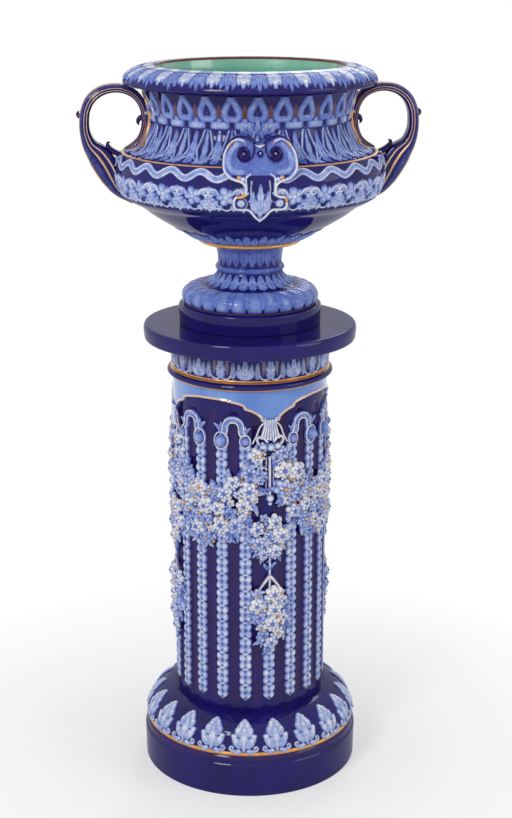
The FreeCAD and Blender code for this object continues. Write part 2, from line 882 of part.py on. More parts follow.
def disc(label, radius, bore, foot, top):
    """A flat washer."""
    profile = [(bore, foot), (radius, foot), (radius, top), (bore, top)]
    return finish(label, turned(label, profile))


def circle_sketch(body, name, radius, height, across=0, along=0):
    """A circle on the body's XY plane, raised to a height."""
    across, along = size_of(across), size_of(along)
    sketch = body.newObject("Sketcher::SketchObject", name)
    sketch.AttachmentSupport = (origin_part(body, "XY_Plane"), [""])
    sketch.MapMode = "FlatFace"
    bind(sketch, ".AttachmentOffset.Base.z", height)
    centre = Vector(across.value, along.value, 0)
    circle = sketch.addGeometry(Part.Circle(centre, Vector(0, 0, 1), radius.value))
    for kind, length in (("DistanceX", across), ("DistanceY", along)):
        index = sketch.addConstraint(Sketcher.Constraint(kind, -1, 1, circle, 3, length.value))
        bind(sketch, f"Constraints[{index}]", length)
    index = sketch.addConstraint(Sketcher.Constraint("Radius", circle, radius.value))
    bind(sketch, f"Constraints[{index}]", radius)
    return sketch


def hexagon(label, across_flats, foot, height):
    """A body that starts with a hexagonal block, flats towards -Y and +Y."""
    body = new_body(label)
    half = across_flats / 2
    corner = half * (2 / math.sqrt(3))
    corners = [
        (corner, 0),
        (corner / 2, half),
        (corner / -2, half),
        (-corner, 0),
        (corner / -2, -half),
        (corner / 2, -half),
    ]
    sketch = outline(body, label + "_outline", "XY_Plane", corners, offset=foot)
    pad(body, sketch, label + "_block", height)
    return body


def tie_hardware():
    """The bolt that draws the bowl down on its socle, with its seal, spreader plate and nut."""
    floor = BOWL_FOOT + S.bowl_floor
    bore = S.bolt_radius + S.nut_thread_gap
    seal_top = floor + S.seal_thickness
    plate_foot = PLATE_SEAT - S.plate_thickness
    nut_foot = plate_foot - S.nut_height
    disc("seal_washer", S.seal_radius, bore, floor, seal_top)
    disc("iron_plate", STEM_BORE + S.plate_seat - S.plate_margin, bore, plate_foot, PLATE_SEAT)
    bolt = hexagon("tie_bolt", S.nut_across_flats, seal_top, S.bolt_head_height)
    shank = circle_sketch(bolt, "bolt_shank", S.bolt_radius, seal_top)
    pad(bolt, shank, "shank_pad", seal_top - nut_foot + S.bolt_end, reverse=True)
    finish("tie_bolt", bolt)
    nut = hexagon("tie_nut", S.nut_across_flats, nut_foot, S.nut_height)
    thread = circle_sketch(nut, "nut_thread", bore, nut_foot)
    pocket(nut, thread, "nut_bore", S.nut_height, reverse=True)
    finish("tie_nut", nut)


def check_and_write():
    """Stops on any failed object or bad shape, then writes one STEP file for each sub-part."""
    doc.recompute()
    for thing in doc.Objects:
        if "Invalid" in thing.State or "Error" in thing.State:
            raise RuntimeError(f"{thing.Label} is {thing.State}")
    for label, thing in FINISHED.items():
        if thing.Shape.isNull() or not thing.Shape.isValid() or not thing.Shape.Solids:
            raise RuntimeError(f"{label} has no valid solid")
    os.makedirs("parts", exist_ok=True)
    for label, thing in FINISHED.items():
        thing.Shape.exportStep(os.path.join("parts", label + ".step"))


def main():
    stand_base()
    column()
    core = cylinder("column_core", S.column_radius)
    crest = cylinder("crest_core", REED_CREST + S.festoon_gap)
    reeds(core)
    reed_loops(core)
    apron()
    capital()
    top_slab()
    festoons(crest)
    drops(core)
    bows(core)
    bowl()
    form = bowl_form()
    handles(form)
    cartouches(form)
    socle()
    tie_hardware()
    check_and_write()


main()
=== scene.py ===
"""The glazes, the moulded ornament and the studio of a jardiniere on its column stand.

Lengths in this file are in millimetres, and angles on a turned form are measured from the front.
"""

import math

import bpy
import numpy as np
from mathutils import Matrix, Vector


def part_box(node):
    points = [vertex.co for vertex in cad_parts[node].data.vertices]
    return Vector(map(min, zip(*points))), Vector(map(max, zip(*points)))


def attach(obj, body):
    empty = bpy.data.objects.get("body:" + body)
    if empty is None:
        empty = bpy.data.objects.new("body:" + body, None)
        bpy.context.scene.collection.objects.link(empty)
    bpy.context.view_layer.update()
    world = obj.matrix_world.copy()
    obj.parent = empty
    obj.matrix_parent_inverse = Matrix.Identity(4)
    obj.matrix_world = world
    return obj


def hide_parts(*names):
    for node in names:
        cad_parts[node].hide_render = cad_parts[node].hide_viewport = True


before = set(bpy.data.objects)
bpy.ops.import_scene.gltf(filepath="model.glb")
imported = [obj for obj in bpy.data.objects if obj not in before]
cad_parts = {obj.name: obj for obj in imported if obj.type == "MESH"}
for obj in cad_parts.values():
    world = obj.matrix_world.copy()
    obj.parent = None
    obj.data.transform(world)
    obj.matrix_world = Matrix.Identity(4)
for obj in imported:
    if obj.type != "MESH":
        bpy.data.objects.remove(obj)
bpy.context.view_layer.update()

bl_info = {
    "name": "Jardiniere on stand",
    "version": (1, 0, 0),
    "blender": (4, 5, 0),
    "location": "View3D > Sidebar > Jardiniere",
    "description": "Glazed jardiniere with moulded ornament on a fluted column stand",
    "category": "Object",
}

MM = 0.001


def radius_of(node):
    """How far a turned part of the frame reaches from the axis."""
    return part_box(node)[1].x / MM


def foot_of(node):
    """The lowest level of a part of the frame."""
    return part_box(node)[0].z / MM


def top_of(node):
    """The highest level of a part of the frame."""
    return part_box(node)[1].z / MM


COLUMN_RADIUS = radius_of("column")
COLUMN_FOOT = foot_of("column")
COLUMN_TOP = top_of("column")
CAPITAL_TOP = top_of("capital")
SLAB_TOP = top_of("top_slab")
SLAB_RADIUS = radius_of("top_slab")
COLUMN_WALL = 13.0
COLUMN_BORE = COLUMN_RADIUS - COLUMN_WALL
STAND_TURN = math.radians(10.5)
KNOTS = [STAND_TURN + math.pi / 2 * k for k in range(4)]
REEDS = 20
REED_PITCH = 2 * math.pi / REEDS
BOWL_REPEATS = 26
BELLY_REPEATS = 13
FRIEZE_REPEATS = 10
SOCLE_REPEATS = 26
STEM_REPEATS = 12
FRIEZE_RADIUS = 115.0
# Paint channels: pale glaze, gilding, the tone of the relief and brown. The tone runs from pooled blue low
# down to white on top, partly glaze that gathers and thins, partly painted shade and painted highlight.
# The brown is iron brown, and in the column's flutes a painted shade.
PALE, GILT, TONE_AND_PAINTED_LIGHT, BROWN_AND_PAINTED_SHADE = range(4)


def around(radius, angle, height):
    """Points at a radius from the axis, an angle from the front and a height."""
    return np.stack(np.broadcast_arrays(radius * np.sin(angle), -radius * np.cos(angle), height), axis=-1)


def smooth(edge, far, value):
    """Runs from 0 at edge to 1 at far without a corner."""
    share = np.clip((value - edge) / (far - edge), 0.0, 1.0)
    return share * share * (3.0 - 2.0 * share)


def curve_through(points, steps=8):
    """A smooth line through points, with a number of steps from each point to the next."""
    points = np.asarray(points, float)
    ends = np.concatenate([2 * points[:1] - points[1:2], points, 2 * points[-1:] - points[-2:-1]])
    share = np.linspace(0, 1, steps, endpoint=False)[:, None]
    runs = []
    for a, b, c, d in zip(ends, ends[1:], ends[2:], ends[3:]):
        square, cube = share * share, share**3
        run = 2 * b + (c - a) * share + (2 * a - 5 * b + 4 * c - d) * square
        runs.append((run + (3 * b - a - 3 * c + d) * cube) / 2)
    runs.append(points[-1:])
    return np.concatenate(runs)


def spiral(centre, start, turns, outer, inner, steps=40):
    """A scroll's line, from its outer end in to its eye."""
    share = np.linspace(0, 1, steps)
    angle = start + turns * 2 * math.pi * share
    radius = outer + (inner - outer) * share**0.8
    return np.stack([centre[0] + radius * np.cos(angle), centre[1] + radius * np.sin(angle)], axis=-1)


def rounded(corners, steps=5):
    """A line through corners (radius, height, rounding), each rounded by an arc."""
    points = []
    for before, here, after in zip([None] + corners[:-1], corners, corners[1:] + [None]):
        at = np.array(here[:2], float)
        if before is None or after is None or len(here) < 3:
            points.append(at)
            continue
        to_before = np.array(before[:2], float) - at
        to_after = np.array(after[:2], float) - at
        reach = min(here[2], 0.45 * np.hypot(*to_before), 0.45 * np.hypot(*to_after))
        start = at + to_before / np.hypot(*to_before) * reach
        end = at + to_after / np.hypot(*to_after) * reach
        for share in np.linspace(0, 1, steps):
            points.append((1 - share) ** 2 * start + 2 * share * (1 - share) * at + share**2 * end)
    return np.array(points)


def spaced(points, step):
    """The same line with a point at least every step."""
    points = np.asarray(points, float)
    runs = []
    for start, end in zip(points, points[1:]):
        count = max(1, math.ceil(np.hypot(*(end - start)) / step))
        runs.append(start + (end - start) * np.linspace(0, 1, count, endpoint=False)[:, None])
    runs.append(points[-1:])
    return np.concatenate(runs)


def distance_along(points):
    """How far along its line each point is."""
    lengths = np.hypot(*np.diff(points, axis=0).T)
    return np.concatenate([[0.0], np.cumsum(lengths)])


def even(points, step):
    """The same line with its points evenly spread, at most a step apart."""
    run = distance_along(points)
    places = np.linspace(0, run[-1], math.ceil(run[-1] / step) + 1)
    return np.stack([np.interp(places, run, points[:, 0]), np.interp(places, run, points[:, 1])], axis=-1)


class Relief:
    """A moulded surface as a drawing: how far it rises at each spot, and what is painted there."""

    def __init__(self, across, up):
        self.across, self.up = np.broadcast_arrays(np.asarray(across, float), np.asarray(up, float))
        self.rise = np.zeros(self.across.shape)
        self.paint = np.zeros(self.across.shape + (4,))

    def lay(self, rise, top, pale=1.0, gilt=0.0, rust=0.0):
        """Lays a form on the surface, and where it stands proud of the rest it takes over."""
        over = rise > self.rise
        self.rise = np.where(over, rise, self.rise)
        # The third mark is the height within the form. It sets the tone from pooled blue low down to white
        # on top: partly glaze that gathers and thins, partly painted shade and painted highlight.
        marks = (pale, gilt, np.clip(rise / top, 0.0, 1.0), rust)
        for channel, mark in enumerate(marks):
            self.paint[..., channel] = np.where(over, mark, self.paint[..., channel])

    def tint(self, channel, mask):
        """Paints without changing the form."""
        self.paint[..., channel] = np.maximum(self.paint[..., channel], mask)

    def from_line(self, points, closed=False):
        """Each spot's distance to a line, and the share of the line that is nearest."""
        points = np.asarray(points, float)
        if closed:
            points = np.concatenate([points, points[:1]])
        run = distance_along(points)
        best = np.full(self.across.shape, 1e9)
        share = np.zeros(self.across.shape)
        for start, end, begun, done in zip(points, points[1:], run, run[1:]):
            span = end - start
            length = max(span @ span, 1e-12)
            off_x, off_y = self.across - start[0], self.up - start[1]
            place = np.clip((off_x * span[0] + off_y * span[1]) / length, 0.0, 1.0)
            gap = np.hypot(off_x - place * span[0], off_y - place * span[1])
            nearer = gap < best
            best = np.where(nearer, gap, best)
            share = np.where(nearer, (begun + (done - begun) * place) / run[-1], share)
        return best, share

    def inside(self, points):
        """Whether each spot is within a closed outline."""
        points = np.asarray(points, float)
        within = np.zeros(self.across.shape, bool)
        for (x0, y0), (x1, y1) in zip(points, np.roll(points, -1, axis=0)):
            if y0 == y1:
                continue
            crosses = (self.up > min(y0, y1)) & (self.up <= max(y0, y1))
            within ^= crosses & (self.across < x0 + (self.up - y0) * (x1 - x0) / (y1 - y0))
        return within

    def depth_in(self, points):
        """Signed distance to a closed outline, below zero within it."""
        gap, _ = self.from_line(points, closed=True)
        return np.where(self.inside(points), -gap, gap)

    def ridge(self, points, width, height, taper=0.0, **marks):
        """A rounded cord along a line. With taper it thins towards the line's end."""
        gap, share = self.from_line(points)
        half = width / 2 * (1 - taper * share)
        form = np.sqrt(np.clip(1 - (gap / half) ** 2, 0.0, 1.0)) * (1 - 0.5 * taper * share)
        self.lay(height * form, height, **marks)

    def band(self, points, width, height, rim=0.35, **marks):
        """A flat ribbon along a line with raised edges."""
        gap, _ = self.from_line(points)
        place = gap / (width / 2)
        form = smooth(1.0, 0.82, place) * (1 - rim * smooth(0.75, 0.25, place))
        self.lay(height * form, height, **marks)

    def dome(self, centre, wide, tall, height, square=2.0, **marks):
        """A rounded boss."""
        off_x, off_y = (self.across - centre[0]) / wide, (self.up - centre[1]) / tall
        far = (np.abs(off_x) ** square + np.abs(off_y) ** square) ** (2.0 / square)
        self.lay(height * np.sqrt(np.clip(1 - far, 0.0, 1.0)), height, **marks)

    def leaf(self, base, tip, width, height, lobes=3, cut=0.3, bow=0.0, fullest=0.75, rib=0.35, **marks):
        """A lobed leaf from base to tip, with a sunk midrib and side veins."""
        base, tip = np.asarray(base, float), np.asarray(tip, float)
        axis = tip - base
        length = np.hypot(*axis)
        off_x, off_y = self.across - base[0], self.up - base[1]
        place = (off_x * axis[0] + off_y * axis[1]) / length**2
        side = (off_y * axis[0] - off_x * axis[1]) / length
        held = np.clip(place, 0.0, 1.0)
        side = side - bow * length * 4 * held * (1 - held)
        half = width / 2 * np.sin(math.pi * held**fullest) ** 0.75
        notch = np.abs(np.sin(lobes * math.pi * held + 0.001))
        half = half * (1 - cut * (1 - notch) ** 1.5) + 1e-6
        over = np.abs(side) / half
        form = np.sqrt(np.clip(1 - over**2, 0.0, 1.0)) * (place > 0) * (place < 1)
        form = form * (1 - rib * np.exp(-((side / (0.07 * width)) ** 2)))
        veins = 0.5 + 0.5 * np.cos(2 * math.pi * (lobes * held - 0.7 * over))
        self.lay(
            height * form * (0.8 + 0.2 * veins) * (0.7 + 0.3 * np.sin(math.pi * held)), height, **marks
        )

    def flower(self, centre, radius, height, petals=5, turn=0.0, heart=0.0, **marks):
        """A flower of rounded petals with a boss for its heart, which may be gilt."""
        off_x, off_y = self.across - centre[0], self.up - centre[1]
        far = np.hypot(off_x, off_y)
        lobe = np.abs(np.cos(petals * (np.arctan2(off_y, off_x) - turn) / 2))
        edge = radius * (0.66 + 0.34 * lobe**0.7)
        form = np.sqrt(np.clip(1 - (far / edge) ** 2, 0.0, 1.0)) * (0.5 + 0.5 * lobe**0.6)
        form = form * (1 - 0.45 * np.exp(-((far / (0.3 * radius)) ** 2)))
        self.lay(height * form, height, **marks)
        self.dome(centre, 0.24 * radius, 0.24 * radius, height * 0.95, gilt=heart)


def grid_faces(rows, columns, closed):
    """The four-sided faces of a grid of points, closed round on itself or open."""
    index = np.arange(rows * columns).reshape(rows, columns)
    right = np.roll(index, -1, axis=1)
    if not closed:
        index, right = index[:, :-1], right[:, :-1]
    return np.stack([index[:-1], right[:-1], right[1:], index[1:]], axis=-1).reshape(-1, 4)


def glazed(shape, tone_and_painted_light, pale=1.0, gilt=0.0, rust=0.0):
    """The paint of a small form, spot by spot."""
    marks = np.zeros(shape + (4,))
    for channel, mark in ((PALE, pale), (GILT, gilt), (TONE_AND_PAINTED_LIGHT, tone_and_painted_light), (BROWN_AND_PAINTED_SHADE, rust)):
        marks[..., channel] = mark
    return marks


class Clay:
    """Gathers one piece's points, faces and paint, and makes them into a mesh."""

    def __init__(self):
        self.points = []
        self.faces = []
        self.paint = []
        self.count = 0

    def add(self, points, faces, paint):
        """Adds faces that count their own points from 0."""
        self.points.append(np.asarray(points, float).reshape(-1, 3))
        self.faces.append(np.asarray(faces).reshape(-1, 4) + self.count)
        self.paint.append(np.asarray(paint, float).reshape(-1, 4))
        self.count += len(self.points[-1])

    def sheet(self, points, paint, closed=False):
        """A grid of points, rows upward and columns to the right, seen from outside."""
        self.add(points, grid_faces(*points.shape[:2], closed), paint)

    def plaque(self, relief, gap, front, back, closed=False):
        """A relief cut where gap is below zero, with side walls that run back to what it stands on."""
        faces = grid_faces(*gap.shape, closed)
        flat = gap.ravel()
        faces = faces[(flat[faces] < 0).any(axis=1)]
        slope_up, slope_across = np.gradient(gap)
        step_up = np.gradient(relief.up, axis=0)
        step_across = np.gradient(relief.across, axis=1)
        toward_x, toward_y = slope_across / step_across, slope_up / step_up
        steep = np.maximum(np.hypot(toward_x, toward_y), 0.3) ** 2
        pull = np.where(gap > 0, gap, 0.0)
        across = relief.across - pull * toward_x / steep
        up = relief.up - pull * toward_y / steep
        rise = np.where(gap > 0, 0.0, relief.rise)
        face_points = front(across, up, rise).reshape(-1, 3)
        back_points = back(across, up).reshape(-1, 3)
        edges = np.concatenate([faces[:, [k, (k + 1) % 4]] for k in range(4)])
        keys = edges[:, 0].astype(np.int64) * flat.size + edges[:, 1]
        reverse = edges[:, 1].astype(np.int64) * flat.size + edges[:, 0]
        rim = edges[~np.isin(keys, reverse)]
        walls = np.stack([rim[:, 1], rim[:, 0], rim[:, 0] + flat.size, rim[:, 1] + flat.size], axis=-1)
        used = np.unique(np.concatenate([faces.ravel(), walls.ravel()]))
        place = np.zeros(flat.size * 2, int)
        place[used] = np.arange(len(used))
        paint = relief.paint.reshape(-1, 4)
        points = np.concatenate([face_points, back_points])[used]
        # The feet of the side walls take less pale glaze and the lowest tone, so the walls darken towards
        # what they stand on: partly glaze gathered there, partly painted shade.
        paint = np.concatenate([paint, paint * [0.6, 1.0, 0.0, 1.0]])[used]
        self.add(points, place[np.concatenate([faces, walls])], paint)

    def stamp(self, form, spot, turn=0.0, scale=1.0, bright=1.0):
        """A copy of a small form, put on the column at (angle, height, radius) and turned there."""
        points, faces, marks = form
        angle, height, radius = spot
        across = (points[:, 0] * math.cos(turn) - points[:, 1] * math.sin(turn)) * scale
        up = (points[:, 0] * math.sin(turn) + points[:, 1] * math.cos(turn)) * scale
        out = points[:, 2] * scale
        self.add(
            around(radius + out, angle + across / radius, height + up),
            faces,
            marks * [1.0, 1.0, bright, 1.0],
        )

    def fire(self, name, body, nodes, finish, slot="cobalt_glaze"):
        """Makes the piece, which rides on a body and stands for nodes of the frame."""
        points = np.concatenate(self.points) * MM
        faces = np.concatenate(self.faces)
        mesh = bpy.data.meshes.new(name)
        mesh.vertices.add(len(points))
        mesh.vertices.foreach_set("co", points.ravel())
        mesh.loops.add(faces.size)
        mesh.loops.foreach_set("vertex_index", faces.ravel().astype(np.int32))
        mesh.polygons.add(len(faces))
        mesh.polygons.foreach_set("loop_start", np.arange(0, faces.size, 4, dtype=np.int32))
        mesh.update(calc_edges=True)
        marks = mesh.attributes.new("paint", "FLOAT_COLOR", "POINT")
        marks.data.foreach_set(
            "color", np.clip(np.concatenate(self.paint), 0.0, 1.0).ravel().astype(np.float32)
        )
        mesh.validate()
        mesh.polygons.foreach_set("use_smooth", np.ones(len(mesh.polygons), bool))
        mesh.materials.append(finish)
        piece = bpy.data.objects.new(name, mesh)
        bpy.context.scene.collection.objects.link(piece)
        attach(piece, body)
        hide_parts(*nodes)


def turn_on_wheel(clay, line, angles, relief=None, closed=True):
    """Turns a line of (radius, height) about the axis, with a relief on its outer side."""
    slope = np.gradient(line, axis=0)
    slope = slope / np.maximum(np.hypot(*slope.T), 1e-9)[:, None]
    rise = np.zeros((len(line), 1)) if relief is None else relief.rise
    paint = np.zeros((len(line), len(angles), 4)) if relief is None else relief.paint
    radius = line[:, :1] + slope[:, 1:] * rise
    height = line[:, 1:] - slope[:, :1] * rise
    clay.sheet(around(radius, angles[None, :], height + 0 * angles[None, :]), paint, closed)


def full_turn(columns, start=0.0):
    """Evenly spread angles once around the axis."""
    return start + np.arange(columns) * 2 * math.pi / columns


def repeated(line, repeats, columns, radius):
    """An empty relief for one repeat of a border along a line, and the angles of the whole turn."""
    share = (np.arange(columns) / columns - 0.5)[None, :]
    relief = Relief(share * 2 * math.pi * radius / repeats, distance_along(line)[:, None])
    angles = full_turn(columns * repeats, -math.pi / repeats)
    return relief, angles


def edge_and_top(relief, spare=0.5):
    """The half width of a repeat, with a little to spare, and its height."""
    return relief.across.max() + spare, relief.up.max()


def mirrored(points, hand, steps=6):
    """A smooth line through points, or with hand -1 its mirror image."""
    return curve_through(np.array(points) * [hand, 1], steps)


def all_round(relief, repeats):
    """The relief of one repeat laid out around the whole turn."""
    whole = Relief(np.tile(relief.across, (1, repeats)), np.tile(relief.up, (1, repeats)))
    whole.rise = np.tile(relief.rise, (1, repeats))
    whole.paint = np.tile(relief.paint, (1, repeats, 1))
    return whole


class Wire:
    """A shader socket. An operator on it adds the Math node that does it."""

    def __init__(self, recipe, socket):
        self.recipe = recipe
        self.socket = socket

    def maths(self, operation, first, second):
        return self.recipe.node("ShaderNodeMath", {"operation": operation}, {0: first, 1: second})[0]

    def __add__(self, other):
        return self.maths("ADD", self, other)

    __radd__ = __add__

    def __sub__(self, other):
        return self.maths("SUBTRACT", self, other)

    def __rsub__(self, other):
        return self.maths("SUBTRACT", other, self)

    def __mul__(self, other):
        return self.maths("MULTIPLY", self, other)

    __rmul__ = __mul__

    def __truediv__(self, other):
        return self.maths("DIVIDE", self, other)

    def __rtruediv__(self, other):
        return self.maths("DIVIDE", other, self)

    def held(self):
        """The same value kept between 0 and 1."""
        return self.recipe.node("ShaderNodeClamp", {}, {"Value": self})[0]


class Recipe:
    """One procedural finish, or the light of a world, while it is mixed."""

    def __init__(self, owner):
        self.owner = owner
        owner.use_nodes = True
        self.tree = owner.node_tree
        self.tree.nodes.clear()

    def node(self, kind, settings, sockets):
        """Adds a node, sets it up and then fills its sockets. Returns its outputs as wires."""
        made = self.tree.nodes.new(kind)
        for name, value in settings.items():
            if name == "stops":
                ramp = made.color_ramp.elements
                while len(ramp) < len(value):
                    ramp.new(0.5)
                for element, (place, colour) in zip(ramp, value):
                    element.position = place
                    element.color = (*colour[:3], 1.0)
            else:
                setattr(made, name, value)
        for name, value in sockets.items():
            if isinstance(value, Wire):
                self.tree.links.new(value.socket, made.inputs[name])
            else:
                made.inputs[name].default_value = value
        return Outputs(self, made)

    def mix(self, share, first, second):
        """One colour passing into another."""
        first = first if isinstance(first, Wire) else (*first[:3], 1.0)
        second = second if isinstance(second, Wire) else (*second[:3], 1.0)
        sockets = {"Factor": share, 6: first, 7: second}
        return self.node("ShaderNodeMix", {"data_type": "RGBA"}, sockets)[2]

    def noise(self, spot, scale, detail=3.0, roughness=0.55):
        sockets = {"Vector": spot, "Scale": scale, "Detail": detail, "Roughness": roughness}
        return self.node("ShaderNodeTexNoise", {}, sockets)["Fac"]

    def ramp(self, share, stops):
        return self.node("ShaderNodeValToRGB", {"stops": stops}, {"Fac": share})["Color"]

    def spot(self):
        return self.node("ShaderNodeTexCoord", {}, {})["Object"]

    def surface(self, sockets, bump=None, strength=0.2, depth=0.0005):
        """Ends the recipe in a Principled shader."""
        if bump is not None:
            raised = {"Height": bump, "Strength": strength, "Distance": depth}
            sockets["Normal"] = self.node("ShaderNodeBump", {}, raised)["Normal"]
        shader = self.node("ShaderNodeBsdfPrincipled", {}, sockets)
        self.node("ShaderNodeOutputMaterial", {}, {"Surface": shader["BSDF"]})
        return self.owner


class Outputs:
    """The outputs of a node, by name or number."""

    def __init__(self, recipe, made):
        self.recipe = recipe
        self.made = made

    def __getitem__(self, which):
        return Wire(self.recipe, self.made.outputs[which])


def once(make):
    """Mixes a finish the first time that it is wanted, and gives the same one after that."""

    def finish(*sizes):
        name = make.__name__
        if name not in bpy.data.materials:
            made = make(*sizes)
            made.name = name
        return bpy.data.materials[name]

    return finish


@once
def majolica_glaze():
    """Cobalt ground; relief glaze from deep blue in its hollows to white on its crests, partly glaze that
    gathers in the hollows and thins on the crests, partly painted shade and painted highlight; gilding;
    iron brown, which in the column's flutes is a painted shade.
    """
    colours = bpy.context.scene.jardiniere_colours
    recipe = Recipe(bpy.data.materials.new("glaze"))
    spot = recipe.spot()
    cloud = recipe.noise(spot, 24.0, 4.0)
    brush = recipe.noise(spot, 260.0, 3.0, 0.6)
    flow = recipe.noise(spot, 75.0, 2.0)
    paint = recipe.node("ShaderNodeAttribute", {"attribute_name": "paint"}, {})
    marks = recipe.node("ShaderNodeSeparateColor", {}, {"Color": paint["Color"]})
    pale = ((marks["Red"] - 0.5) * 3.0 + 0.5 + (brush - 0.5) * 0.9).held()
    gilded = ((marks["Green"] - 0.5) * 4.0 + 0.5 + (brush - 0.55) * 1.6).held()
    pooled_tone_and_painted_light = (marks["Blue"] + (brush - 0.5) * 0.45 + (flow - 0.5) * 0.5).held()
    # Brown from the brown channel: iron brown on the ornament, and a painted shade in the column's flutes.
    browned = (paint["Alpha"] * 1.2 + (flow - 0.5) * 1.2 * paint["Alpha"]).held()
    ground = recipe.mix(cloud, colours.cobalt_deep, colours.cobalt)
    # The tone runs through these colours. Pooled blue in the hollows is partly painted shade, and relief
    # white on the crests is partly painted highlight.
    stops = [
        (0.0, colours.pooled_blue),
        (0.38, colours.mid_blue),
        (0.72, colours.pale_blue),
        (0.97, colours.relief_white),
    ]
    relief = recipe.ramp(pooled_tone_and_painted_light, stops)
    colour = recipe.mix(pale, ground, relief)
    colour = recipe.mix(browned, colour, colours.iron_brown)
    gold = recipe.mix(flow, colours.gilt, colours.gilt_worn)
    colour = recipe.mix(gilded, colour, gold)
    sockets = {
        "Base Color": colour,
        "Roughness": 0.16 + gilded * 0.14 + (cloud - 0.5) * 0.08,
        "Metallic": gilded * 0.6,
        "Coat Weight": 0.5,
        "Coat Roughness": 0.04,
        "Specular IOR Level": 0.0,
    }
    return recipe.surface(sockets, flow * 0.7 + brush * 0.3, 0.22, 0.0007)


@once
def apron_glaze():
    """The smooth light blue of the apron, with a pinkish gilt bead."""
    colours = bpy.context.scene.jardiniere_colours
    recipe = Recipe(bpy.data.materials.new("glaze"))
    spot = recipe.spot()
    cloud = recipe.noise(spot, 22.0, 3.0)
    brush = recipe.noise(spot, 200.0, 3.0)
    paint = recipe.node("ShaderNodeAttribute", {"attribute_name": "paint"}, {})
    marks = recipe.node("ShaderNodeSeparateColor", {}, {"Color": paint["Color"]})
    colour = recipe.mix(((cloud - 0.5) * 1.8 + 0.35).held(), colours.apron_blue, colours.apron_light)
    # White on the top of the raised edge, where the tone mark is high: partly white glaze, partly painted
    # highlight.
    colour = recipe.mix(((marks["Blue"] - 0.6) * 3.0).held() * 0.6, colour, colours.relief_white)
    edge = (paint["Alpha"] * (1.5 + brush)).held()
    colour = recipe.mix(edge * 0.8, colour, colours.gilt)
    sockets = {
        "Base Color": colour,
        "Roughness": 0.14 + cloud * 0.08,
        "Metallic": edge * 0.3,
        "Coat Weight": 1.0,
        "Coat Roughness": 0.04,
        "Specular IOR Level": 0.25,
    }
    return recipe.surface(sockets, cloud + brush * 0.1, 0.18, 0.0006)


@once
def turquoise_glaze():
    """The clear sea green of the bowl's inside, a little darker where it pools."""
    colours = bpy.context.scene.jardiniere_colours
    recipe = Recipe(bpy.data.materials.new("glaze"))
    spot = recipe.spot()
    cloud = recipe.noise(spot, 14.0, 5.0)
    fine = recipe.noise(spot, 180.0, 3.0)
    colour = recipe.mix(((cloud - 0.5) * 2.2 + 0.5).held(), colours.inside_deep, colours.inside)
    cells = recipe.node(
        "ShaderNodeTexVoronoi", {"feature": "DISTANCE_TO_EDGE"}, {"Vector": spot, "Scale": 120.0}
    )
    crazing = (1.0 - cells["Distance"] * 30.0).held() * 0.12
    colour = recipe.mix(crazing, colour, colours.iron_brown)
    sockets = {
        "Base Color": colour, "Roughness": 0.18 + fine * 0.08, "Coat Weight": 1.0, "Coat Roughness": 0.05
    }
    return recipe.surface(sockets, cloud + fine * 0.2, 0.2, 0.0006)


@once
def worn_brass():
    """The bolt and its nut."""
    recipe = Recipe(bpy.data.materials.new("brass"))
    spot = recipe.spot()
    tarnish = recipe.noise(spot, 90.0, 5.0)
    turned = recipe.node(
        "ShaderNodeTexWave", {"bands_direction": "Z"}, {"Vector": spot, "Scale": 320.0}
    )["Fac"]
    colour = recipe.mix(tarnish, (0.72, 0.5, 0.2), (0.34, 0.22, 0.09))
    sockets = {"Base Color": colour, "Metallic": 1.0, "Roughness": 0.28 + tarnish * 0.25}
    return recipe.surface(sockets, turned, 0.25, 0.0003)


@once
def rusted_iron():
    """The spreader plate."""
    recipe = Recipe(bpy.data.materials.new("iron"))
    spot = recipe.spot()
    scale = recipe.noise(spot, 60.0, 6.0, 0.65)
    rust = ((scale - 0.5) * 5.0).held()
    colour = recipe.mix(rust, (0.12, 0.11, 0.11), (0.25, 0.1, 0.04))
    sockets = {"Base Color": colour, "Metallic": 0.9 - rust * 0.8, "Roughness": 0.5 + rust * 0.35}
    return recipe.surface(sockets, scale, 0.5, 0.0008)


@once
def black_rubber():
    """The seal under the bolt's head."""
    recipe = Recipe(bpy.data.materials.new("rubber"))
    spot = recipe.spot()
    dust = recipe.noise(spot, 150.0, 5.0)
    colour = recipe.mix((dust - 0.4) * 0.6, (0.018, 0.018, 0.019), (0.11, 0.1, 0.09))
    return recipe.surface({"Base Color": colour, "Roughness": 0.7 + dust * 0.2}, dust, 0.3, 0.0004)


@once
def studio_sweep():
    """A pale floor that keeps the shadow near the object and is plain white further off."""
    recipe = Recipe(bpy.data.materials.new("sweep"))
    spot = recipe.spot()
    far = recipe.node("ShaderNodeVectorMath", {"operation": "LENGTH"}, {0: spot})["Value"]
    path = recipe.node("ShaderNodeLightPath", {}, {})
    seen = (path["Is Camera Ray"] + path["Is Glossy Ray"] + path["Is Transmission Ray"]).held()
    grain = recipe.noise(spot, 9.0, 2.0)
    tone = recipe.mix(grain, (0.9, 0.9, 0.9), (0.93, 0.93, 0.93))
    paper = recipe.node("ShaderNodeBsdfDiffuse", {}, {"Color": tone})["BSDF"]
    white = recipe.node(
        "ShaderNodeEmission", {}, {"Color": (1.0, 1.0, 1.0, 1.0), "Strength": 1.0}
    )["Emission"]
    share = (((far - 0.2) / 0.5).held() * 0.55 + 0.45) * seen
    shader = recipe.node("ShaderNodeMixShader", {}, {0: share, 1: paper, 2: white})["Shader"]
    recipe.node("ShaderNodeOutputMaterial", {}, {"Surface": shader})
    return recipe.owner


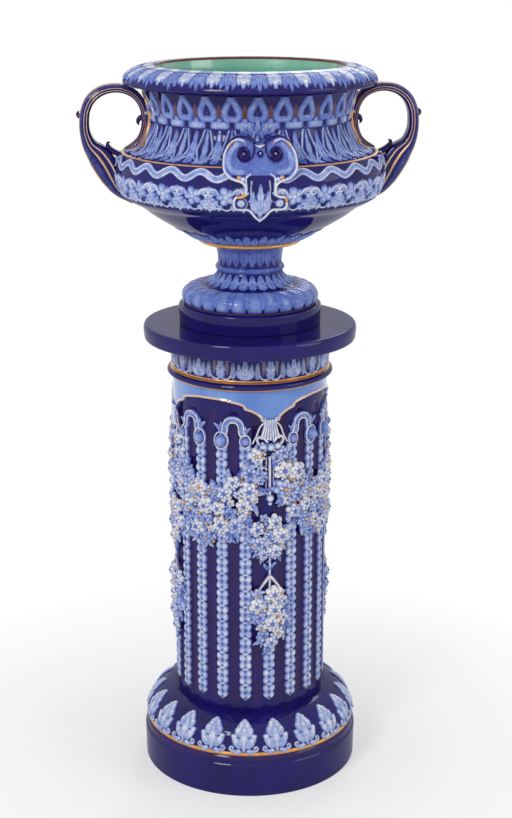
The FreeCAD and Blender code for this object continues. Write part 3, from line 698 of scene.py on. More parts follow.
def studio_world():
    """Even soft light from all sides, and plain white behind the object."""
    world = bpy.data.worlds.new("studio_world")
    bpy.context.scene.world = world
    recipe = Recipe(world)
    path = recipe.node("ShaderNodeLightPath", {}, {})
    seen = (path["Is Camera Ray"] + path["Is Glossy Ray"] + path["Is Transmission Ray"]).held()
    soft = recipe.node("ShaderNodeBackground", {}, {"Color": (1.0, 1.0, 1.0, 1.0), "Strength": 0.5})
    plain = recipe.node("ShaderNodeBackground", {}, {"Color": (1.0, 1.0, 1.0, 1.0), "Strength": 1.0})
    sockets = {0: seen, 1: soft["Background"], 2: plain["Background"]}
    light = recipe.node("ShaderNodeMixShader", {}, sockets)["Shader"]
    recipe.node("ShaderNodeOutputWorld", {}, {"Surface": light})


def lamp(name, spot, aim, size, power):
    """A round soft lamp at a spot, turned towards what it lights."""
    light = bpy.data.lights.new(name, "AREA")
    light.shape = "DISK"
    light.size = size
    light.energy = power
    holder = bpy.data.objects.new(name, light)
    holder.location = spot
    holder.rotation_euler = (Vector(aim) - Vector(spot)).to_track_quat("-Z", "Y").to_euler()
    bpy.context.scene.collection.objects.link(holder)


def set_camera():
    """The camera that took the picture: high, a little left of the bowl's front, with a long lens."""
    height, away, aside, pitch = 1.2553, 2.3729, math.radians(4.2), math.radians(16.34)
    picture_wide, picture_tall, picture_axis, focal, sensor = 512.0, 818.0, 249.9, 1643.0, 36.0
    camera = bpy.data.cameras.new("photographer")
    camera.sensor_fit = "VERTICAL"
    camera.sensor_height = sensor
    camera.lens = focal / picture_tall * sensor
    camera.shift_x = (picture_wide / 2 - picture_axis) / picture_tall
    holder = bpy.data.objects.new("photographer", camera)
    holder.location = (-away * math.sin(aside), -away * math.cos(aside), height)
    holder.rotation_euler = (math.pi / 2 - pitch, 0.0, -aside)
    bpy.context.scene.collection.objects.link(holder)
    bpy.context.scene.camera = holder


def floor_sheet():
    """A wide flat round of paper."""
    rings = np.array([0.0, 0.3, 0.6, 1.0, 1.6, 2.5, 4.0, 7.0, 12.0, 22.0, 40.0]) + 0.001
    sides = 64
    points = [
        (r * math.cos(a), r * math.sin(a), 0.0)
        for r in rings
        for a in np.arange(sides) * 2 * math.pi / sides
    ]
    faces = []
    for near in range(0, (len(rings) - 1) * sides, sides):
        for k in range(sides):
            beside = (k + 1) % sides
            faces.append((near + k, near + sides + k, near + sides + beside, near + beside))
    faces.append(tuple(range(sides))[::-1])
    mesh = bpy.data.meshes.new("floor_paper")
    mesh.from_pydata(points, [], faces)
    mesh.materials.append(studio_sweep())
    floor = bpy.data.objects.new("floor_paper", mesh)
    bpy.context.scene.collection.objects.link(floor)


RIM_LINE = curve_through(
    [
        (151.5, 1038.0),
        (157.0, 1041.2),
        (176.0, 1042.6),
        (180.2, 1044.8),
        (180.6, 1048.0),
        (178.0, 1053.0),
        (173.0, 1058.0),
        (165.0, 1063.0),
        (152.0, 1067.6),
        (140.0, 1069.6),
        (136.0, 1069.0),
        (134.5, 1066.0),
    ],
    12,
)
NECK_LINE = [
    (184.0, 948.5),
    (176.0, 949.6),
    (166.0, 952.2),
    (157.0, 959.0),
    (149.0, 972.0),
    (144.0, 984.0),
    (142.2, 996.0),
    (143.4, 1008.0),
    (146.0, 1020.0),
    (149.0, 1031.0),
    (151.5, 1038.0),
]
BELLY_LINE = [
    (184.0, 886.0), (189.5, 900.0), (192.5, 914.0), (193.0, 927.0), (190.6, 938.0), (186.5, 945.5),
    (184.0, 948.5),
]
UNDER_LINE = [
    (74.0, 821.6), (88.0, 828.5), (99.0, 835.5), (120.0, 846.0), (141.0, 859.0), (160.0, 873.0),
    (174.0, 880.0),
]


def palmette(relief, base, tip, width, height, **marks):
    """A leaf of five lobes: one down the middle and a pair on each side."""
    base, tip = np.asarray(base, float), np.asarray(tip, float)
    axis = tip - base
    aside = np.array([-axis[1], axis[0]]) / np.hypot(*axis)
    for lean, reach in ((0.46, 0.52), (0.34, 0.8)):
        for hand in (-1, 1):
            end = base + axis * reach + aside * hand * width * lean
            relief.leaf(base + axis * 0.05, end, width * 0.36, height * 0.85, 3, 0.2, hand * 0.1, **marks)
    relief.leaf(base, tip, width * 0.42, height, 4, 0.22, **marks)


def rim_relief():
    """Leaves that hang over the rim, large and small in turn, below a white band along the roll that is a
    painted highlight.
    """
    line = even(RIM_LINE, 1.05)
    relief, angles = repeated(line, BOWL_REPEATS, 38, 180.0)
    half, high = edge_and_top(relief)
    edge = smooth(high - 21.0, high - 17.0, relief.up) * smooth(high - 5.0, high - 8.0, relief.up)
    # Painted highlight: a slightly raised band near the top of the roll, painted white.
    relief.lay(0.5 * edge, 0.55)
    relief.tint(BROWN_AND_PAINTED_SHADE, 0.9 * smooth(high - 5.5, high - 3.5, relief.up))
    for side in (-half, half):
        palmette(relief, (side, 68.0), (side, 38.5), 25.0, 2.6)
        palmette(relief, (side, 56.0), (side, 36.5), 19.0, 3.0)
        relief.dome((side, 46.0), 4.4, 4.0, 3.4)
    for lean in (-8.0, 0.0, 8.0):
        relief.leaf((lean * 0.5, 66.0), (lean, 31.5 + abs(lean) * 0.7), 10.0, 2.4, 3, 0.3)
        relief.leaf((lean, 50.0), (lean * 1.15, 33.0 + abs(lean) * 0.5), 8.0, 2.9, 2, 0.25)
    relief.paint[..., TONE_AND_PAINTED_LIGHT] *= np.where(np.abs(relief.across) < 11.5, 0.55, 1.0)
    return line, relief, angles


def neck_relief():
    """Spear leaves below the rim, a course of bars, and tall leaves that spread to the shoulder."""
    line = even(curve_through(NECK_LINE, 8), 1.1)
    relief, angles = repeated(line, BOWL_REPEATS, 36, 142.0)
    half, high = edge_and_top(relief, 0.45)
    bars, spears = high - 41.0, high - 33.0
    for side in (-half, half):
        relief.leaf((side, 8.0), (side * 0.96, bars - 7), 11.5, 2.4, 4, 0.32, 0.0, 0.55)
        relief.leaf((side, spears - 2), (side, high - 12), 7.0, 1.6, 2, 0.1, rust=0.75)
        relief.dome((side, spears - 1), 4.2, 3.4, 1.8)
        relief.dome((side, bars), 13.5, 5.2, 2.4, 5.0)
    for hand in (-1, 1):
        relief.ridge([(0, 10), (hand * 6, 22), (hand * 11, 38), (hand * 4, bars - 7)], 3.2, 2.6)
        relief.ridge([(hand * half, 30), (hand * 8, 20), (0, 12), (hand * -6, 6)], 2.6, 2.9)
        relief.leaf((hand * 2, 6.0), (hand * 9, 26.0), 6.5, 2.0, 3, 0.3)
    relief.leaf((0, 14.0), (0, bars - 3), 9.0, 1.9, 3, 0.2, 0.0, 0.6)
    outer = [
        (0, high - 2), (3.4, high - 9), (8.6, spears + 14), (9.6, spears + 7), (7, spears + 1),
        (0, spears + 1),
    ]
    outer = curve_through(outer, 6)
    outer = np.concatenate([outer, outer[::-1] * [-1, 1]])
    relief.ridge(outer, 9.5, 2.6)
    relief.dome((0, spears + 9), 5.0, 9.0, 1.4, pale=0.3)
    # Painted shadow under the overhanging rim: the tone of the top of the neck is made darker.
    relief.paint[..., TONE_AND_PAINTED_LIGHT] *= 1 - 0.35 * smooth(spears - 4, spears, relief.up)
    inside = relief.depth_in(outer) < -4.3
    relief.paint[..., PALE] = np.where(inside, 0.35, relief.paint[..., PALE])
    spear = curve_through(
        [(0, spears + 18), (1.5, spears + 12), (5.5, spears + 10), (2.4, spears + 7), (2.8, spears + 3)],
        4,
    )
    relief.ridge(np.concatenate([spear, spear[::-1] * [-1, 1]]), 1.6, 1.5, pale=0.2)
    relief.tint(GILT, smooth(3.0, 1.4, relief.up))
    relief.paint[..., TONE_AND_PAINTED_LIGHT] *= 0.72
    return line, relief, angles


def wave(relief, level, swing, period, width, height):
    """A ribbon that waves along a border, pale at its edges."""
    across = np.linspace(relief.across.min() - period / 4, relief.across.max() + period / 4, 48)
    up = level + swing * np.sin(2 * math.pi * across / period)
    relief.band(np.stack([across, up], axis=-1), width, height, 0.45)


def belly_relief():
    """A waving ribbon over a band of flowers, leaves and scrolls, on the widest part of the bowl."""
    line = even(curve_through(BELLY_LINE, 10), 1.0)
    relief, angles = repeated(line, BELLY_REPEATS, 84, 191.0)
    half, high = edge_and_top(relief)
    chosen = sizes()
    wave(relief, high - 13.0, chosen.wave_swing / MM, half, chosen.wave_width / MM, 2.4)
    relief.tint(GILT, smooth(high - 2.2, high - 1.0, relief.up))
    low = 19.0
    for place in (-half, 0.0, half):
        relief.flower((place, low + 6), 13.5, 3.6, 5, 0.6)
        for hand in (-1, 1):
            start = math.pi if hand > 0 else 0.0
            curl = spiral((place + hand * 18, low + 10), start, hand * -0.8, 8.5, 2.0)
            relief.ridge(curl, 3.6, 2.8)
            root, tip = (place + hand * 10, low), (place + hand * 27, low - 10)
            relief.leaf(root, tip, 11.0, 2.6, 3, 0.3, hand * -0.12)
            relief.leaf((place + hand * 12, low + 8), (place + hand * 22, low + 19), 8.0, 2.4, 3, 0.3)
            relief.leaf((place + hand * 6, low - 6), (place + hand * 12, low - 16), 8.0, 2.2, 2, 0.25)
    for place in (-half / 2, half / 2):
        relief.flower((place, low + 1), 9.5, 3.4, 6, 0.2)
        relief.leaf((place, low + 8), (place, low + 20), 9.0, 2.6, 3, 0.3)
        for hand in (-1, 1):
            relief.leaf((place, low - 6), (place + hand * 8, low - 15), 8.0, 2.3, 3, 0.25, hand * 0.1)
        relief.leaf((place, low - 6), (place, low - 18), 7.5, 2.4, 2, 0.2)
    across = np.linspace(-half, half, 60)
    foot = 5.0 + 3.4 * np.abs(np.sin(math.pi * across / (half / 2)))
    relief.ridge(np.stack([across, foot], axis=-1), 2.6, 1.8)
    relief.paint[..., TONE_AND_PAINTED_LIGHT] *= 0.9
    return line, relief, angles


def under_relief():
    """The plain lower bowl, with a calyx of leaves that rises from its foot."""
    line = even(curve_through(UNDER_LINE + BELLY_LINE[:1], 8), 1.4)
    relief, angles = repeated(line, BOWL_REPEATS, 26, 100.0)
    half = relief.across.max() + 0.4
    for side in (-half, half):
        relief.leaf((side, 4.0), (side, 46.0), 13.0, 2.2, 4, 0.32)
    relief.leaf((0.0, 3.0), (0.0, 36.0), 16.0, 2.8, 4, 0.34)
    relief.lay(1.6 * smooth(5.0, 3.6, relief.up), 1.7, pale=0.0, gilt=1.0)
    relief.paint[..., TONE_AND_PAINTED_LIGHT] *= 0.62
    return line, relief, angles


def bowl_inside(clay):
    """The inside of the bowl down to the bolt's hole, and the flat underside around the hole."""
    line = [
        (134.5, 1066.0), (132.6, 1050.0), (132.0, 1006.0), (132.0, 990.0), (136.0, 976.0), (145.0, 958.0)
    ]
    line += [
        (162.0, 944.0), (178.0, 936.0), (183.0, 926.0), (181.0, 912.0), (172.0, 896.0), (150.0, 876.0)
    ]
    line += [(120.0, 857.0), (90.0, 842.0), (64.0, 834.6), (40.0, 833.6), (7.5, 833.6)]
    line = spaced(curve_through(line, 6), 6.0)
    turn_on_wheel(clay, line, full_turn(208))
    hole = spaced([(7.5, 833.6), (7.5, 821.6), (40.0, 821.6), (74.0, 821.6)], 6.0)
    turn_on_wheel(clay, hole, full_turn(208))


def socle_piece(clay):
    """The foot of the jardiniere, from its plinth up to the collar."""
    plinth = rounded([(94.0, SLAB_TOP), (104.0, SLAB_TOP, 1.5), (105.0, 724.6, 3.0), (96.0, 726.2)], 6)
    turn_on_wheel(clay, spaced(plinth, 2.5), full_turn(320))
    torus = [(95.5, 726.0), (98.4, 734.0), (97.5, 742.0), (91.0, 748.6), (80.0, 752.0), (68.0, 754.0)]
    line = even(curve_through(torus, 8), 1.0)
    relief, angles = repeated(line, SOCLE_REPEATS, 24, 95.0)
    half, high = edge_and_top(relief)
    for side in (-half, half):
        relief.leaf((side, high - 4), (side, 8.0), 7.0, 1.6, 1, 0.0, 0.0, 1.1, 0.2)
    share = np.abs(relief.across) / (half * 0.93)
    body = np.sqrt(np.clip(1 - share**2, 0, 1)) * smooth(0.0, 7.0, relief.up)
    body = body * smooth(high, high - 12.0, relief.up)
    relief.lay(1.9 * body, 2.2, pale=smooth(0.0, 0.4, body))
    relief.tint(GILT, smooth(1.6, 0.6, relief.up))
    relief.paint[..., TONE_AND_PAINTED_LIGHT] *= 0.5
    turn_on_wheel(clay, line, angles, all_round(relief, SOCLE_REPEATS))
    flare = [(68.0, 754.0), (60.0, 757.5), (52.0, 764.0), (47.0, 771.0), (45.5, 774.6)]
    line = even(curve_through(flare, 8), 1.0)
    relief, angles = repeated(line, SOCLE_REPEATS // 2, 34, 56.0)
    half, high = edge_and_top(relief, 0.4)
    for place in (-half, 0.0, half):
        relief.leaf((place, high), (place, 1.5), 16.0, 2.0, 3, 0.22, 0.0, 1.15)
    relief.paint[..., TONE_AND_PAINTED_LIGHT] *= 0.62
    turn_on_wheel(clay, line, angles, all_round(relief, SOCLE_REPEATS // 2))
    knop = [(45.5, 774.6), (48.5, 775.0, 1.0), (51.0, 779.0, 3.0), (48.5, 783.0, 1.0), (46.5, 783.4)]
    knop += [(45.8, 788.0)]
    stem = [(45.8, 790.0), (46.4, 800.0), (49.5, 809.0), (56.0, 813.6), (63.0, 815.0)]
    line = even(np.concatenate([rounded(knop, 5), curve_through(stem, 6)]), 1.2)
    relief, angles = repeated(line, STEM_REPEATS, 22, 47.0)
    half, high = edge_and_top(relief)
    relief.lay(0.3 * smooth(2.0, 3.0, relief.up) * smooth(13.0, 12.0, relief.up), 0.5)
    for place in (-half, half, 0.0):
        relief.leaf((place, high - 2), (place, 14.5), 16.0, 1.3, 2, 0.1, 0.0, 0.9)
    relief.paint[..., TONE_AND_PAINTED_LIGHT] *= 0.36
    turn_on_wheel(clay, line, angles, all_round(relief, STEM_REPEATS))
    collar = [(63.0, 815.0), (70.0, 815.4, 1.5), (75.0, 817.6, 2.5), (75.0, 820.8, 2.0), (70.0, 821.6)]
    angles = full_turn(240)
    line = spaced(rounded(collar, 6), 1.2)
    relief = Relief(angles[None, :] * 70.0, distance_along(line)[:, None])
    relief.tint(GILT, smooth(4.0, 6.0, relief.up))
    turn_on_wheel(clay, line, angles, relief)
    inner = [(70.0, 821.6), (35.0, 821.6), (35.0, 754.6), (43.0, 754.6), (87.0, 725.6)]
    inner += [(87.0, SLAB_TOP), (94.0, SLAB_TOP)]
    turn_on_wheel(clay, spaced(inner, 8.0), full_turn(160))


def disc_points(far, angle, out):
    """The points of a round form that lies flat, from its edge in to its middle."""
    return np.stack([far * np.cos(angle), far * np.sin(angle), out], axis=-1)[::-1]


def blossom(petals, radius, height, heart_gilt=0.0, seed=0):
    """A flower in two layers of petals round a boss, as a small form lying flat."""
    chance = np.random.default_rng(seed)
    clay = Clay()
    columns = petals * 7
    angle = full_turn(columns)[None, :]
    for layer, (reach, lift, turn) in enumerate(((1.0, 0.0, 0.0), (0.64, 0.34, math.pi / petals))):
        share = np.array([0.03, 0.2, 0.4, 0.6, 0.78, 0.9, 0.97, 1.0])[:, None]
        lobe = np.abs(np.cos(petals * (angle - turn) / 2))
        uneven = 1 + 0.08 * np.sin(angle * 2 + chance.uniform(0, 6))
        far = share * radius * reach * (0.62 + 0.38 * lobe**0.6) * uneven
        cup = np.interp(share, [0, 0.25, 0.6, 0.85, 0.95, 1.0], [0.35, 0.55, 1.0, 0.8, 0.45, -0.35])
        crease = 1 - 0.45 * (1 - lobe) ** 1.5 * smooth(0.1, 0.5, share)
        crease = crease - 0.14 * smooth(0.9, 1.0, lobe) * (share > 0.25)
        out = height * (cup * crease * 0.66 + lift)
        points = disc_points(far, angle, out)
        # Petals lighter towards their tips and on the upper layer: partly thin glaze, partly painted
        # highlight.
        tone_and_painted_light = np.clip(0.3 + 0.75 * share + 0.12 * layer, 0.0, 1.0) * (0.45 + 0.55 * lobe)
        clay.sheet(points, glazed(far.shape, tone_and_painted_light)[::-1], True)
    share = np.array([0.02, 0.5, 0.85, 1.0])[:, None]
    far = share * radius * 0.19 + 0 * angle
    out = height * (0.75 + 0.4 * np.sqrt(np.clip(1 - share**2, 0, 1))) + 0 * angle
    marks = glazed(far.shape, 0.25 + 0.5 * heart_gilt, gilt=heart_gilt)
    clay.sheet(disc_points(far, angle, out), marks[::-1], True)
    return np.concatenate(clay.points), np.concatenate(clay.faces), np.concatenate(clay.paint)


def leaf_form(length, width, height, lobes=3, bow=0.15, brown=0.0):
    """A curling leaf with lobed edges, as a small form that grows to the right from the origin."""
    along = np.linspace(0, 1, 15)[None, :]
    aside = np.array([-1.0, -0.92, -0.6, -0.25, 0.0, 0.25, 0.6, 0.92, 1.0])[:, None]
    half = width / 2 * np.sin(math.pi * np.clip(along, 0.02, 0.98) ** 0.7) ** 0.7
    half = half * (1 - 0.3 * (1 - np.abs(np.sin(lobes * math.pi * along))) ** 1.5)
    across = aside * half + bow * length * 4 * along * (1 - along)
    rib = 1 - 0.4 * np.exp(-((aside / 0.16) ** 2))
    veins = 0.88 + 0.12 * np.cos(2 * math.pi * (lobes * along * 1.5 - np.abs(aside) * 0.8))
    out = height * np.sqrt(np.clip(1 - aside**2, 0, 1)) * rib * veins * (0.55 + 0.6 * along)
    out = out - 0.8 * (np.abs(aside) > 0.95)
    points = np.stack([along * length + 0 * aside, across, out], axis=-1)
    tone_and_painted_light = np.clip(out / height, 0, 1) * (0.55 + 0.4 * along)
    marks = glazed(out.shape, tone_and_painted_light, rust=brown * smooth(0.5, 1.0, np.abs(aside)))
    clay = Clay()
    clay.sheet(points, marks)
    return clay.points[0], clay.faces[0], clay.paint[0]


def berry(radius, gilt=0.0):
    """A small round bud."""
    angle = full_turn(14)[None, :]
    share = np.array([0.03, 0.4, 0.75, 0.95, 1.0])[:, None]
    out = radius * np.sqrt(np.clip(1 - share**2, 0, 1)) * 1.3 - 0.6 * (share > 0.99) + 0 * angle
    far = radius * share + 0 * angle
    marks = glazed(far.shape, np.clip(out / (1.3 * radius), 0, 1), gilt=gilt)
    clay = Clay()
    clay.sheet(disc_points(far, angle, out), marks[::-1], True)
    return clay.points[0], clay.faces[0], clay.paint[0]


def ribbon(clay, points, width, height, angle, radius, pale=1.0, brown=0.0, gilt=0.0, tone_and_painted_light=0.95):
    """A half-round strip laid on a round wall along points (across, height above the floor)."""
    line = curve_through(points, 7)
    slope = np.gradient(line, axis=0)
    slope = slope / np.hypot(*slope.T)[:, None]
    aside = np.array([-1.0, -0.9, -0.55, -0.2, 0.2, 0.55, 0.9, 1.0])[:, None]
    widths = np.asarray(width(np.linspace(0, 1, len(line)))) / 2 if callable(width) else width / 2
    across = line[:, 0] - aside * slope[:, 1] * widths
    up = line[:, 1] + aside * slope[:, 0] * widths
    wall = radius(up) if callable(radius) else radius + 0 * up
    out = height * np.sqrt(np.clip(1 - aside**2, 0, 1)) - 1.4 * (np.abs(aside) > 0.95) + 0 * across
    browned = brown * smooth(0.4, 0.95, np.abs(aside))
    marks = glazed(across.shape, np.clip(out / height, 0, 1) * tone_and_painted_light, pale, gilt, browned)
    clay.sheet(around(wall + out, angle + across / wall, up), marks)


# radius, height and petals, then how often each size is tried and the share of the spots it may take
FLOWER_SIZES = ((14.0, 7.6, 6), (11.5, 6.8, 5), (9.0, 6.0, 5), (6.6, 5.0, 5))
FLOWER_TRIES = (8, 14, 24, 40)
FLOWER_LIMITS = (9, 6, 4, 3)
LEAF_BED, FLOWER_BED, BUD_BED = 113.4, 115.4, 116.4
GILT_HEART_SHARE = 0.16


def flower_forms(gilt_hearts):
    """The blossoms, largest first, and the same with gilt hearts."""
    return [
        blossom(petals, radius, height, gilt_hearts, k)
        for k, (radius, height, petals) in enumerate(FLOWER_SIZES)
    ]


def strew(clay, angle, spots, chance, inside, outward):
    """Packs flowers into a region of the column's face, with leaves between and around them.

    inside says whether a spot lies in the region, and outward gives the way a leaf points there.
    """
    plain, hearted = flower_forms(0.0), flower_forms(1.0)
    leaves = [
        leaf_form(22.0, 11.0, 3.6, 3),
        leaf_form(16.0, 8.5, 3.2, 3, -0.15),
        leaf_form(13.0, 6.5, 2.8, 2, 0.2, 0.8),
    ]
    buds = [berry(2.7), berry(2.0), berry(2.3), berry(1.8), berry(2.1, 1.0)]
    placed = []
    for across, up in chance.uniform(spots[0], spots[1], (spots[2] * 9, 2)):
        if not inside(across, up, 8.0):
            continue
        turn = outward(across, up) + chance.uniform(-1.0, 1.0)
        kind = chance.integers(0, 3)
        spot = (angle + across / 116.0, up, LEAF_BED + chance.uniform(0, 2.2))
        clay.stamp(leaves[kind], spot, turn, 1.0, chance.uniform(0.6, 1.25))
        if len(placed) >= spots[2] * 2.4:
            break
        placed.append((across, up))
    taken = []
    for size, (radius, _, _) in enumerate(FLOWER_SIZES):
        limit = spots[2] // FLOWER_LIMITS[size]
        for across, up in chance.uniform(spots[0], spots[1], (spots[2] * FLOWER_TRIES[size], 2)):
            if sum(1 for t in taken if t[3] == size) >= max(1, limit):
                break
            if not inside(across, up, radius * 0.8):
                continue
            if any(math.hypot(across - a, up - u) < 0.8 * (radius + r) for a, u, r, _ in taken):
                continue
            taken.append((across, up, radius, size))
            forms = hearted if chance.uniform() < GILT_HEART_SHARE else plain
            spot = (angle + across / 117.0, up, FLOWER_BED + chance.uniform(0, 1.8))
            turn, scale = chance.uniform(0, 6.28), chance.uniform(0.92, 1.08)
            clay.stamp(forms[size], spot, turn, scale, chance.uniform(0.72, 1.3))
    for across, up in chance.uniform(spots[0], spots[1], (spots[2] * 5, 2)):
        if inside(across, up) and all(math.hypot(across - a, up - u) > 0.7 * r for a, u, r, _ in taken):
            spot = (angle + across / 117.0, up, BUD_BED + chance.uniform(0, 2.5))
            clay.stamp(buds[chance.integers(0, 5)], spot, 0.0)


KNOT_LEVEL = COLUMN_TOP - 78.0
SWAG_LEVEL = COLUMN_TOP - 192.0
UPPER_DROP = COLUMN_TOP - 227.0
LOWER_DROP = COLUMN_TOP - 352.0


def swag_piece(clay, angle, seed):
    """One festoon between two knots."""
    chance = np.random.default_rng(seed)
    reach = 84.0

    def middle(share):
        return SWAG_LEVEL + 4.0 + (KNOT_LEVEL - SWAG_LEVEL - 22.0) * abs(share) ** 2.3

    def inside(across, up, margin=0.0):
        share = across / reach
        if abs(across) > reach - margin:
            return False
        spread = 44.0 * (1 - share * share) ** 0.7 + 25.0 * share * share
        return abs(up - middle(share)) < spread - margin * 0.35

    def outward(across, up):
        share = across / reach
        return math.atan2(up - middle(share), 14.0 * share)

    strew(
        clay,
        angle,
        ((-reach, SWAG_LEVEL - 44.0), (reach, KNOT_LEVEL + 12.0), 104),
        chance,
        inside,
        outward,
    )


def drop_piece(clay, angle, seed):
    """The rod, sprays and ribbon that hang below one knot."""
    chance = np.random.default_rng(seed)
    pale_rod = curve_through([(0.0, 461.0), (0.0, 500.0), (0.0, 521.0)], 4)
    ribbon(clay, pale_rod, 4.6, 3.4, angle, 112.6)
    for hand in (-1, 1):
        ribbon(
            clay,
            [(hand * 5.4, 466.0), (hand * 5.6, 500.0), (hand * 5.0, 520.0)],
            2.2,
            1.6,
            angle,
            112.4,
            0.6,
        )
    clay.stamp(berry(6.2), (angle, 457.0, 113.6))
    clay.stamp(berry(3.4), (angle, 448.5, 113.6))

    def upper(across, up, margin=0.0):
        return math.hypot(
            across / (27.0 - margin * 0.5), (up - UPPER_DROP - 6.0) / (34.0 - margin * 0.5)
        ) < 1

    def lower(across, up, margin=0.0):
        share = (LOWER_DROP + 46.0 - up) / 92.0
        if not 0 < share < 1:
            return False
        return abs(across) < 24.0 * math.sin(math.pi * (0.12 + 0.8 * share) ** 0.62) + 3.0 - margin * 0.4

    def hanging(across, up):
        return -math.pi / 2 + 0.07 * across

    strew(
        clay, angle, ((-27.0, UPPER_DROP - 30.0), (27.0, UPPER_DROP + 40.0), 26), chance, upper, hanging
    )
    strew(
        clay, angle, ((-27.0, LOWER_DROP - 46.0), (27.0, LOWER_DROP + 46.0), 30), chance, lower, hanging
    )
    stem = [(0.0, LOWER_DROP + 40.0), (0.0, 335.0), (0.0, UPPER_DROP - 20.0)]
    ribbon(clay, stem, 4.0, 3.0, angle, 114.0)
    for hand in (-1, 1):
        tail = [(0.0, 336.0), (hand * 8.0, 326.0), (hand * 17.0, 312.0), (hand * 22.0, 297.0)]
        ribbon(clay, tail, lambda share: 6.4 - 3.6 * share, 2.8, angle, 115.6, 1.0, 0.55)
        clay.stamp(leaf_form(15.0, 7.0, 3.0, 2, 0.1), (angle, 345.0, 115.4), math.pi / 2 - hand * 0.7)


def knot_piece(clay, angle):
    """The tied bow: a fluted fan above three lumps, with ribbon ends."""
    for k in range(-3, 4):
        top, foot = (k * 2.2, 577.0), (k * 4.4, 546.0 + abs(k) * 0.7)
        ribbon(
            clay,
            [foot, ((top[0] + foot[0]) * 0.48, 562.0), top],
            lambda share: 4.6 - 2.0 * share,
            3.6,
            angle,
            115.2,
        )
    for hand in (-1, 1):
        curl = spiral((hand * 9.5, 578.0), math.pi / 2 - hand * 1.2, -hand * 0.8, 4.6, 1.0, 14)
        ribbon(clay, curl, 2.6, 2.6, angle, 116.0)
        ribbon(
            clay,
            [(hand * 4, 543), (hand * 12, 551), (hand * 19, 549), (hand * 16, 540), (hand * 5, 538)],
            5.0,
            3.6,
            angle,
            115.4,
            1,
            0.5,
        )
        ribbon(
            clay,
            [(hand * 6, 575), (hand * 15, 566), (hand * 20, 553), (hand * 26, 541)],
            3.4,
            2.4,
            angle,
            115.0,
            1,
            0.55,
        )
        tail = [(hand * 5, 534), (hand * 11, 521), (hand * 13, 503), (hand * 10, 488)]
        ribbon(clay, tail, lambda share: 6.0 - 3.0 * share, 2.8, angle, 113.4, 1, 0.6)
        clay.stamp(berry(5.4), (angle + hand * 10.0 / 115, 537.0, 116.0))
    clay.stamp(berry(6.4), (angle, 536.0, 116.6))


def husk_strip(length):
    """One reed: a chain of four-lobed husks with sunk blue hearts, ending in a rounded tip."""
    across = np.array(
        [-10.4, -9.4, -8.2, -7.0, -5.6, -4.2, -2.9, -1.5, 0, 1.5, 2.9, 4.2, 5.6, 7.0, 8.2, 9.4, 10.4]
    )
    up = np.arange(0.0, length + 0.6, 1.28)
    relief = Relief(across[None, :], up[:, None])
    unit = 25.4
    high = sizes().reed_rise / MM
    place = (relief.up % unit) - unit / 2
    cell = Relief(relief.across, place)
    cell.lay(1.4 * np.sqrt(np.clip(1 - (relief.across / 9.0) ** 2, 0, 1)), 6.0, pale=0.0)
    for hand in (-1, 1):
        for rise in (-6.3, 6.3):
            cell.dome((hand * 4.9, rise), 4.7, 6.0, high * 0.9, 2.6)
    cell.dome((0.0, 0.0), 7.4, 8.0, high, 2.4)
    cell.dome((0.0, unit / 2), 6.0, 2.6, 2.6)
    cell.dome((0.0, -unit / 2), 6.0, 2.6, 2.6)
    heart = np.hypot(relief.across / 3.4, place / 4.2)
    sunk = smooth(1.15, 0.55, heart)
    cell.rise = cell.rise - 2.2 * sunk
    cell.paint[..., TONE_AND_PAINTED_LIGHT] *= 0.86 * (1 - 0.7 * sunk)
    tip = smooth(0.0, 12.0, relief.up) ** 0.5 * 9.4 + 0.4
    held = smooth(0.8, -0.8, np.abs(relief.across) - tip) * smooth(length, length - 1.5, relief.up)
    cell.rise = (cell.rise + 0.9) * held - 0.9
    cell.paint[..., BROWN_AND_PAINTED_SHADE] = 0.5 * smooth(2.0, 0.4, cell.rise) * cell.paint[..., PALE]
    return cell, up[:, None]


def reeds_piece(clay):
    """Sixteen long reeds, and a short one under each drop."""
    for k in range(REEDS):
        short = k % 5 == 0
        relief, up = husk_strip(90.0 if short else 406.0)
        angle = STAND_TURN + k * REED_PITCH + relief.across / COLUMN_RADIUS
        clay.sheet(around(COLUMN_RADIUS + relief.rise, angle, COLUMN_FOOT + 18.0 + up), relief.paint)


